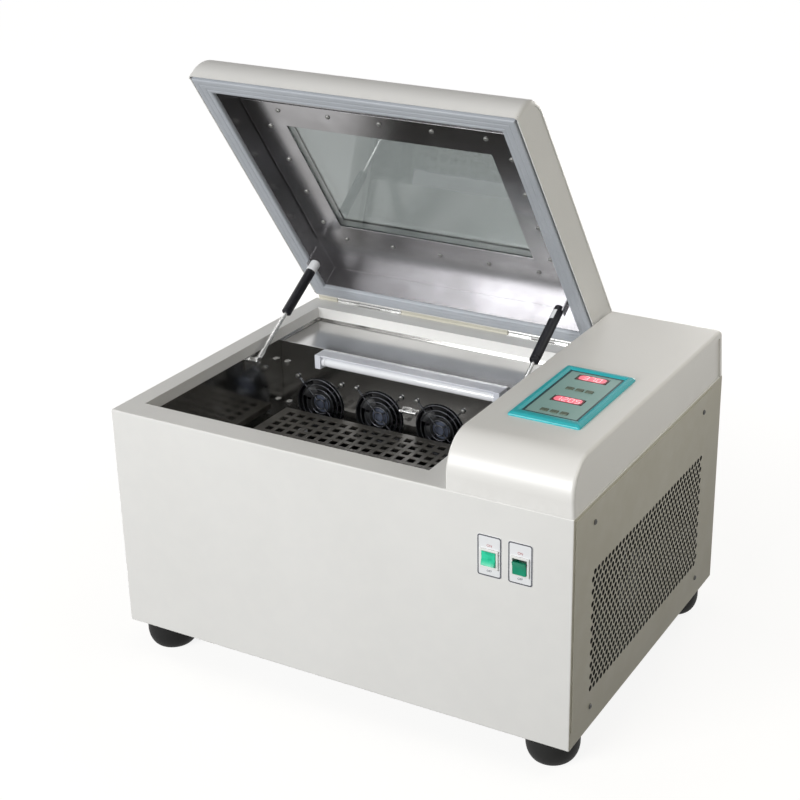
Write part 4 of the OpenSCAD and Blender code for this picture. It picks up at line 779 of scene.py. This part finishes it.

# %% [markdown]
# ## Cabinet
# The cabinet is folded sheet: its outer corners have a radius of about two millimetres, and the edges of its
# openings are only deburred. The side panel's vent holes are punched and sharp, so it keeps its CAD mesh,
# and the walls of its holes get a dark second material: painted shade inside the holes.

# %% Folded sheets
GRILLE_EDGE = 20
shell = softened("cabinet_shell", "outer_shell", 0.3, 1, 60, outline=2.2)
# The shell's right-hand faces take the darker cream: painted shade on the side away from the lamps.
shell.data.materials.append(finishes["side_paint"])
side_x = span(v.co for v in shell.data.vertices)[1].x - 1 * MM
for face in shell.data.polygons:
    if face.center.x > side_x and face.normal.x > 0.7:
        face.material_index = 1
softened("rear_louvre_panel", "rear_panel", 0.3, 1, looks="cream_paint")
panel = nodes["side_panel"].data
# Dark material for the hole walls: painted shade. The side screws use the same finish as their own colour.
panel.materials.append(finishes["dark_screw"])
inner = shrunk(tuple(zip(*span(v.co for v in panel.vertices)))[1:], GRILLE_EDGE)
for face in panel.polygons:
    if abs(face.normal.x) < 0.5 and all(a < face.center[i] < b for i, (a, b) in zip((1, 2), inner)):
        face.material_index = 1
softened("base_plate", "chassis", 0.5, 1)

# %% [markdown]
# Behind the louvres of the rear panel sits a dark sheet folded in pleats: painted shade for the dark inside of
# the cabinet. Without it daylight would show through the louvres and the vent holes. One zigzag outline drawn
# across the opening makes it.

# %% Dark pleated sheet behind the louvres
PLEAT, PLEAT_DEPTH, SHADE_SHEET_T, SHADE_SHEET_EDGE = 3 * MM, 2.5 * MM, 0.6 * MM, (18 * MM, 16 * MM)
low, high = box_of("rear_panel")
z0, z1 = box_of("power_inlet")[1].z + SHADE_SHEET_EDGE[1], high.z - SHADE_SHEET_EDGE[1]
folds = [(low.y - 0.5 * MM - PLEAT_DEPTH * (i % 2), z0 + i * PLEAT) for i in range(int((z1 - z0) / PLEAT) + 1)]
shade_outline = folds + [(y - SHADE_SHEET_T, z) for y, z in folds[::-1]]
bm = bmesh.new()
prism(bm, shade_outline, (low.x + SHADE_SHEET_EDGE[0], high.x - SHADE_SHEET_EDGE[0]), 0)
# The black sheet is painted shade for the dark machine room behind the louvres.
detail("pleated_filter", bm, "rear_panel", slot_name="black_plastic")

# %% [markdown]
# The rear louvres are pressed outwards: each slot has a hood that leans over it and fades into the sheet at
# both ends. The hood is a thin curved strip, lofted along X with a sine for its fade.

# %% Louvre hoods
HOOD_DEPTH, HOOD_RISE, HOOD_LAP, HOOD_SHEET, STEPS = 5 * MM, 11.7 * MM, 3.2 * MM, 0.9 * MM, 24
HOOD_END, LOUVRES_FROM, LOUVRES_EDGE = 19 * MM, 140 * MM, 20 * MM
low, high = box_of("rear_panel")
edges_z = sorted({round(v.co.z, 4) for v in nodes["rear_panel"].data.vertices})
slots = [z for z in edges_z if LOUVRES_FROM < z < high.z - LOUVRES_EDGE][::2]
bm = bmesh.new()
for bottom in slots:
    rings = []
    for k in range(STEPS + 1):
        t = k / STEPS
        x = low.x + HOOD_END + (high.x - low.x - 2 * HOOD_END) * t
        lift = math.sin(max(0.02, min(1.0, 7 * t, 7 * (1 - t))) * math.pi / 2)
        hood = [(high.y + HOOD_DEPTH * lift * s, bottom - HOOD_LAP + HOOD_RISE * c)
                for c, s in arc((0, 0), 1, 0, 90, 8)]
        hood += [(max(high.y + 0.05 * MM, y - HOOD_SHEET * lift), z - 0.5 * MM) for y, z in hood[::-1]]
        rings.append([(x, *p) for p in hood])
    skin(bm, rings, caps=True)
# The hoods take the rear panel's slot, the darker cream of painted shade.
detail("louvre_hoods", bm, "rear_panel", sharp=45)

# %% [markdown]
# The feet are turned rubber bowls: a straight upper side that curves in to a flat sole, a fine groove under
# the base plate and a hollow for the screw. Each is one lathe profile at the places of the CAD feet.

# %% Feet
SOLE = 22
bm = bmesh.new()
for a, b in solids_of("feet"):
    r, tall = (b.x - a.x) / 2 / MM, (b.z - a.z) / MM
    shape = [(0, 6), (5, 6), (5.5, 3), (9, 2.4), (10, 0.4), (11, 0)]
    shape += [(SOLE + (r - SOLE) * c, 0.6 * tall * (1 + s)) for c, s in arc((0, 0), 1, -90, 0, 12)]
    shape += [(r - back, tall - down) for back, down in ((0, 8), (0.7, 7), (0.7, 5), (0, 4), (0, 1), (0.8, 0), (r, 0))]
    lathe(bm, shape, 56, Matrix.Translation(((a.x + b.x) / 2, (a.y + b.y) / 2, a.z)))
piece("rubber_feet", bm, "feet")

# %% [markdown]
# ## Chamber
# The liner, duct panel and tray keep their CAD shape with small folds at the edges. The tray's square holes
# are punched from below, so their upper edge is rounded and worn brighter.

# %% Chamber sheets
for row in (("chamber_walls", "chamber_liner", 0.4, 1), ("duct_wall", "duct_panel", 0.35, 1),
            ("perforated_tray", "platform_tray", 0.4, 2), ("tray_frame", "tray_carrier", 0.8, 2),
            ("lamp_batten", "lamp_housing", 0.5, 2), ("probe", "temperature_probe", 0.3, 2),
            ("fan_housings", "fan_frames", 0.6, 2)):
    softened(*row)

# %% Fan guards
WIRE_R, FAN_PITCH, RINGS, RING_STEP = 1, 82.5, 5, 8.4


def wire_ring(bm, radius, x, y, z):
    lathe(bm, arc((radius, 0), WIRE_R, 0, 360, 10), 64, aimed((x, y, z), (0, 1, 0)))


bm = bmesh.new()
for a, b in solids_of("fan_guards"):
    x, _, z = (a + b) / 2
    for k in range(1, RINGS + 1):
        wire_ring(bm, k * RING_STEP, x, a.y + WIRE_R * MM, z)
    hub = Vector((x, b.y - WIRE_R * MM, z))
    loop_r, loop = ((b.x - a.x) / MM - FAN_PITCH) / 2 - WIRE_R, FAN_PITCH / math.sqrt(2)
    arm = loop - loop_r - 0.9 * RING_STEP
    for sx, sz in ((-1, -1), (-1, 1), (1, -1), (1, 1)):
        away = Vector((sx, 0, sz)).normalized()
        lathe(bm, [(0, 0), (WIRE_R, 0), (WIRE_R, arm), (0, arm)], 12, aimed(hub + away * RING_STEP * 0.9 * MM, away))
        wire_ring(bm, loop_r, *(hub + away * loop * MM))
bmesh.ops.remove_doubles(bm, verts=bm.verts, dist=0.001 * MM)
piece("guard_rings", bm, "fan_guards", "guard_wire")

# %% [markdown]
# The tube has metal end caps with two pins and a frosted glass body that narrows at the caps. It is turned
# along X.

# %% Lamp tube
low, high = box_of("lamp_tube")
middle = (low + high) / 2
start = Matrix.Translation((low.x, middle.y, middle.z)) @ Matrix.Rotation(math.pi / 2, 4, "Y")
r, long = (high.z - low.z) / 2 / MM, (high.x - low.x) / MM
cap = ((0, 0), (0.9, 0), (1, 0.6), (1, 9), (0.86, 10), (0.9, 12), (0.97, 15))
bm = bmesh.new()
lathe(bm, [(r * s, h) for s, h in cap] + [(r * s, long - h) for s, h in cap[::-1]], 40, start)
piece("milk_tube", bm, "lamp_tube")

# %% [markdown]
# The fans move air with seven cambered, twisted blades on a hub. A blade is a grid from hub to tip: the pitch
# falls along it, and the middle of its chord bows, as in any moulded fan. The same helper makes the big
# condenser fan with five broader blades.

# %% Impellers
ALONG, ACROSS = 8, 9


def impeller(name, node, axis, hub_r, tip_r, depth, blades, chord, pitch, rounding=1.5, looks=None):
    """A fan with its label. Its sizes are in millimetres; chord and pitch are those at the hub and at the tip."""
    low, high = box_of(node)
    index = 1 if axis[1] else 0
    front = (low + high) / 2
    front[index] = low[index]
    place, tall = aimed(front, axis), (high[index] - low[index]) / MM
    bm, disc = bmesh.new(), bmesh.new()
    lathe(bm, [(0, 0), (hub_r - rounding, 0), (hub_r - 0.3 * rounding, 0.3 * rounding), (hub_r, rounding),
               (hub_r, depth), (0, depth)], 48, place)
    lathe(bm, [(0, depth - 1), (3, depth - 1), (3, tall - 0.2), (0, tall)], 24, place)
    lathe(disc, [(0, -0.05), (hub_r * 0.80, -0.05), (hub_r * 0.82, 0.3), (0, 0.3)], 40, place)
    detail(name + "_label", disc, node, "hub_label")
    for b in range(blades):
        turned = place @ Matrix.Rotation(math.tau * b / blades, 4, "Z")
        rings = []
        for i in range(ALONG + 1):
            t = i / ALONG
            r = hub_r - 1 + (tip_r - hub_r + 1) * t
            slope = math.radians(pitch[0] + (pitch[1] - pitch[0]) * t)
            wide = chord[0] + (chord[1] - chord[0]) * t
            sheets = []
            for side in (-1, 1):
                row = []
                for j in range(ACROSS + 1):
                    s = j / ACROSS - 0.5
                    bow = 0.10 * wide * (1 - 4 * s * s)
                    edge = 0.55 * math.sqrt(max(0.04, 1 - 4 * s * s)) * side
                    angle = (s * wide * math.cos(slope) - bow * math.sin(slope)) / r
                    lift = depth / 2 + s * wide * math.sin(slope) + bow * math.cos(slope) + edge
                    row.append(turned @ (Vector((r * math.cos(angle), r * math.sin(angle), lift)) * MM))
                sheets.append(row)
            rings.append(sheets[0] + sheets[1][::-1])
        skin(bm, rings, caps=True)
    piece(name, bm, node, looks, sharp=40)


for k in (1, 2, 3):
    impeller(f"fan_blades_{k}", f"fan_impeller_{k}", (0, 1, 0), 19, 41.3, 18, 7, (17, 25), (52, 27))
impeller("condenser_blades", "condenser_fan", (1, 0, 0), 28, 78, 16, 5, (30, 46), (34, 18), 3, "black_plastic")

# %% [markdown]
# ## Struts and hinges
# A gas strut is a black painted cylinder with a rolled end, a polished rod and two end eyes. The cylinder is
# turned on the lathe along the strut's own line, with the rolled groove that keeps the seal. It covers its
# stud at the top. The left one ends in a white sleeve there, and the right one has a plain white label.

# %% Struts
STRUT_FOOT, STRUT_ANGLE, STRUT_LENGTH = (0.0112365, 0.369), math.radians(32.4786), 202.039
BARREL_R, low, high = 7.9, STRUT_LENGTH - 104, STRUT_LENGTH + 4
LABEL = high - 28, high - 11
strut_x = [(a.x + b.x) / 2 for a, b in solids_of("strut_cylinders")]
lines = [aimed((x, *STRUT_FOOT), (0, math.cos(STRUT_ANGLE), math.sin(STRUT_ANGLE))) for x in strut_x]
r, over = BARREL_R, BARREL_R + 0.3
bm, sleeve, label = (bmesh.new() for _ in range(3))
for line in lines:
    lathe(bm, [(3.05, low + 2), (3.05, low), (5.2, low), (6.6, low + 0.5), (r, low + 1.8), (r, low + 7),
               (6.9, low + 7.8), (6.9, low + 9), (r, low + 9.8), (r, high - 3), (7, high - 1.2), (5.4, high - 0.2),
               (2.9, high), (0, high), (0, low + 2), (3.05, low + 2)], 36, line)
lathe(sleeve, [(r - 1, high - 19), (over - 0.3, high - 19), (over, high - 18.5), (over, high - 2),
               (over - 1.2, high + 0.3), (3, high + 0.8), (0, high + 0.8), (0, high - 3), (r - 1, high - 3),
               (r - 1, high - 19)], 36, lines[0])
wrap = [(0.02, LABEL[0]), (0.2, LABEL[0]), (0.2, LABEL[1]), (0.02, LABEL[1]), (0.02, LABEL[0])]
skin(label, [[lines[1] @ Vector((*p, z * MM)) for p in arc((0, 0), (r + out) * MM, -180, -80, 10)] for out, z in wrap],
     around=False)
bmesh.ops.remove_doubles(label, verts=label.verts, dist=0.001 * MM)
bmesh.ops.holes_fill(label, edges=[e for e in label.edges if e.is_boundary])
piece("strut_barrels", bm, "strut_cylinders", "strut_black")
detail("strut_sleeve", sleeve, "strut_cylinders", slot_name="white_plate")
detail("strut_label", label, "strut_cylinders", slot_name="white_plate")
for row in (("strut_polished_rods", "strut_rods", 0.4), ("strut_brackets", "strut_base_brackets", 0.5),
            ("hinge_fixed_leaves", "hinge_base_leaves", 0.35), ("hinge_moving_leaves", "hinge_lid_leaves", 0.35)):
    softened(*row, 2, 50)

# %% [markdown]
# A soft strip on the rim fills the gap under the open lid's rear edge. Its bead lies round the hinge's own
# axis, so that the lid clears it at every angle, and the strip stops on both sides of each hinge. A round
# tube would do, but the real strip has a foot, so one outline of both is drawn along the rim. Its darker
# cream is painted shade for the shadowed line under the lid.

# %% Seal beside the hinges
SEAL_R, SEAL_OPENS, SEAL_END, FOOT = 3.8 * MM, 50, 6 * MM, (-3.6 * MM, -0.8 * MM)
rim_z = box_of("outer_shell")[1].z
lid_low, lid_high = box_of("lid_shell")
seal = arc((HINGE.y, HINGE.z), SEAL_R, -SEAL_OPENS, 180 + SEAL_OPENS, 14)
seal += [(HINGE.y + y, rim_z - 0.2 * MM) for y in FOOT]
stops = [lid_low.x + SEAL_END]
for a, b in sorted(solids_of("hinge_base_leaves"), key=lambda ends: ends[0].x):
    stops += [a.x - 1 * MM, b.x + 1 * MM]
stops.append(lid_high.x - SEAL_END)
bm = bmesh.new()
for ends in zip(stops[::2], stops[1::2]):
    prism(bm, seal, ends, 0)
# The strip takes the darker cream: painted shade for the shadowed line under the lid.
detail("hinge_side_seal", bm, "hinge_base_leaves", slot_name="side_paint")

# %% [markdown]
# ## Controls
# The teal bezel is a moulded ring with a broad chamfer, wider at the front. Inside it lies the membrane with
# a thin dark border, two red display windows and six small keys. Digits are built from seven bars, as on
# the real displays.

# %% Bezel, membrane and keys
low, high = box_of("control_bezel")
base, top = low.z / MM, high.z / MM
bm = bmesh.new()
ring_between(bm, plan(low, high), membrane_hole, [
    (0, base), (0, base + 1.6), (0.03, base + 2.6), (0.22, top - 0.5), (0.30, top), (0.62, top), (0.70, top - 0.3),
    (0.96, base + 3.2), (0.998, base + 2.9), (0.998, base + 2.4), (0.9, base + 2.4), (0.84, base + 0.9), (0.84, base)],
    (3.2, 0.8), 6)
piece("bezel_ring", bm, "control_bezel", sharp=30)
softened("membrane_sheet", "control_membrane", 0.1, 1)
bm, face = bmesh.new(), box_of("control_membrane")[1].z / MM
ring_between(bm, shrunk(membrane_hole, -0.6), shrunk(membrane_hole, 3.4),
             [(0, face - 0.05), (0, face + 0.12), (1, face + 0.12), (1, face - 0.05)])
detail("membrane_border", bm, "control_membrane", "border_print", "membrane")
for key in (f"{row}_{k}" for row in ("upper", "lower") for k in (1, 2, 3)):
    softened("key_cap_" + key, "key_" + key, 0.9, 3)

# %% Display windows
frames, lit = bmesh.new(), bmesh.new()
for a, b in solids_of("display_modules"):
    for bm, gaps, radius, base, top in ((frames, (1.2, 0.4), 5, a.z, b.z),
                                        (lit, (3.4, 2.2), 6, b.z - 0.4 * MM, b.z + 0.12 * MM)):
        sides = [shrunk([side], gap)[0] for side, gap in zip(plan(a, b), gaps)]
        skin(bm, [rectangle(*sides, radius * MM, 8, base), rectangle(*sides, radius * MM, 8, top - 0.1 * MM),
                  rectangle(*shrunk(sides, 0.2), (radius - 0.2) * MM, 8, top)], caps=True)
piece("display_windows", frames, "display_modules")
detail("display_lights", lit, "display_modules", "display_glow")

# %% Digits
BARS = {"0": "abcdef", "1": "bc", "2": "abged", "3": "abgcd", "5": "afgcd", "7": "abc"}
DIGIT_W, DIGIT_H, DIGIT_STEP, BAR = 6.2 * MM, 11.5 * MM, 9.6 * MM, 1.25 * MM
PLACES = {"a": (0, 1, 0), "g": (0, 0, 0), "d": (0, -1, 0), "f": (-1, 0.5, 1), "b": (1, 0.5, 1), "e": (-1, -0.5, 1),
          "c": (1, -0.5, 1)}


def bar(bm, x, y, upright, z):
    long, half = (DIGIT_H / 2 if upright else DIGIT_W) / 2 - 0.25 * MM, BAR / 2
    flank = long - half
    shape = [(-long, 0), (-flank, half), (flank, half), (long, 0), (flank, -half), (-flank, -half)]
    prism(bm, [(x + b, y + a) if upright else (x + a, y + b) for a, b in shape], (z, z + 0.15 * MM))


bm = bmesh.new()
for text, (a, b) in zip(("1205", "37.0"), solids_of("display_modules")):
    middle, z = (a + b) / 2, b.z + 0.08 * MM
    signs = text.replace(".", "")
    first = middle.x - (len(signs) - 1) / 2 * DIGIT_STEP
    for k, sign in enumerate(signs):
        for dx, dy, upright in (PLACES[name] for name in BARS[sign]):
            bar(bm, first + k * DIGIT_STEP + dx * DIGIT_W / 2, middle.y + dy * DIGIT_H / 2, upright, z)
    if "." in text:
        lathe(bm, [(0, 0), (0.8, 0), (0.8, 0.13), (0, 0.13)], 12,
              Matrix.Translation((first + (text.index(".") - 0.5) * DIGIT_STEP, middle.y - DIGIT_H / 2, z)))
detail("display_digits", bm, "display_modules", "digit_light")

# %% [markdown]
# ## Switches
# Each switch plate is a white skin with a printed outline and the words ON and OFF in red and dark ink. The
# letters are font curves turned into thin meshes. The housings stay square, and the rockers have a hollow,
# glossy face.

# %% Plates, words and rockers
softened("switch_skins", "switch_plates", 0.2, 1)
softened("switch_housings", "switch_bodies", 0.5, 2)
softened("power_rocker_cap", "power_rocker", 0.7, 3, looks="green_lit")
softened("lamp_rocker_cap", "lamp_rocker", 0.7, 3)
UPRIGHT = Matrix.Rotation(math.pi / 2, 4, "X")


def merge(bm, other):
    """Adds other to bm and frees it."""
    mesh = to_mesh("merged", other)
    bm.from_mesh(mesh)
    bpy.data.meshes.remove(mesh)


def lettering(name, words, looks):
    """Words as (text, size, x, y, z) on the front of the cabinet, as one thin mesh."""
    bm = bmesh.new()
    for text, size, *place in words:
        curve = bpy.data.curves.new(name, "FONT")
        curve.body, curve.size, curve.extrude = text, size * MM, 0.06 * MM
        curve.align_x, curve.align_y = "CENTER", "CENTER"
        flat = with_modifiers(to_object(name, curve))
        flat.transform(Matrix.Translation(place) @ UPRIGHT)
        merge(bm, flat)
    detail(name, bm, "switch_plates", looks, "white_plate")


bm, red, dark = bmesh.new(), [], []
for (a, b), (c, d) in zip(solids_of("switch_plates"), solids_of("switch_bodies")):
    x, front = (a.x + b.x) / 2, a.y - 0.05 * MM
    outer = shrunk(tuple(zip(a, b))[::2], 0.4)
    ring = bmesh.new()
    ring_between(ring, outer, shrunk(outer, 1.7), [(0, -0.1), (0, 0.1), (1, 0.1), (1, -0.1)], (3.4, 2.3), 8)
    ring.transform(Matrix.Translation((0, front, 0)) @ UPRIGHT)
    merge(bm, ring)
    red.append(("ON", 5.0, x, front, d.z + 4.6 * MM))
    dark.append(("OFF", 4.4, x, front, c.z - 4.6 * MM))
detail("plate_outlines", bm, "switch_plates", "print_dark", "white_plate")
lettering("word_on", red, "print_red")
lettering("word_off", dark, "print_dark")
softened("inlet_socket", "power_inlet", 0.4, 2)

# %% [markdown]
# ## Machine room
# Behind the grille the compressor, the condenser and its fan housing show dimly. Rounding is enough here.

# %% Inside
softened("compressor_pot", "compressor", 0.8, 2, 50)
softened("condenser_shroud", "condenser_fan_housing", 0.6, 1, 50)
softened("condenser_block", "condenser", 0.2, 1, 60, "dark_fins")
softened("motor_can", "drive_motor", 0.8, 2, 50)
softened("bearing_pot", "bearing_housing", 0.8, 2, 50)
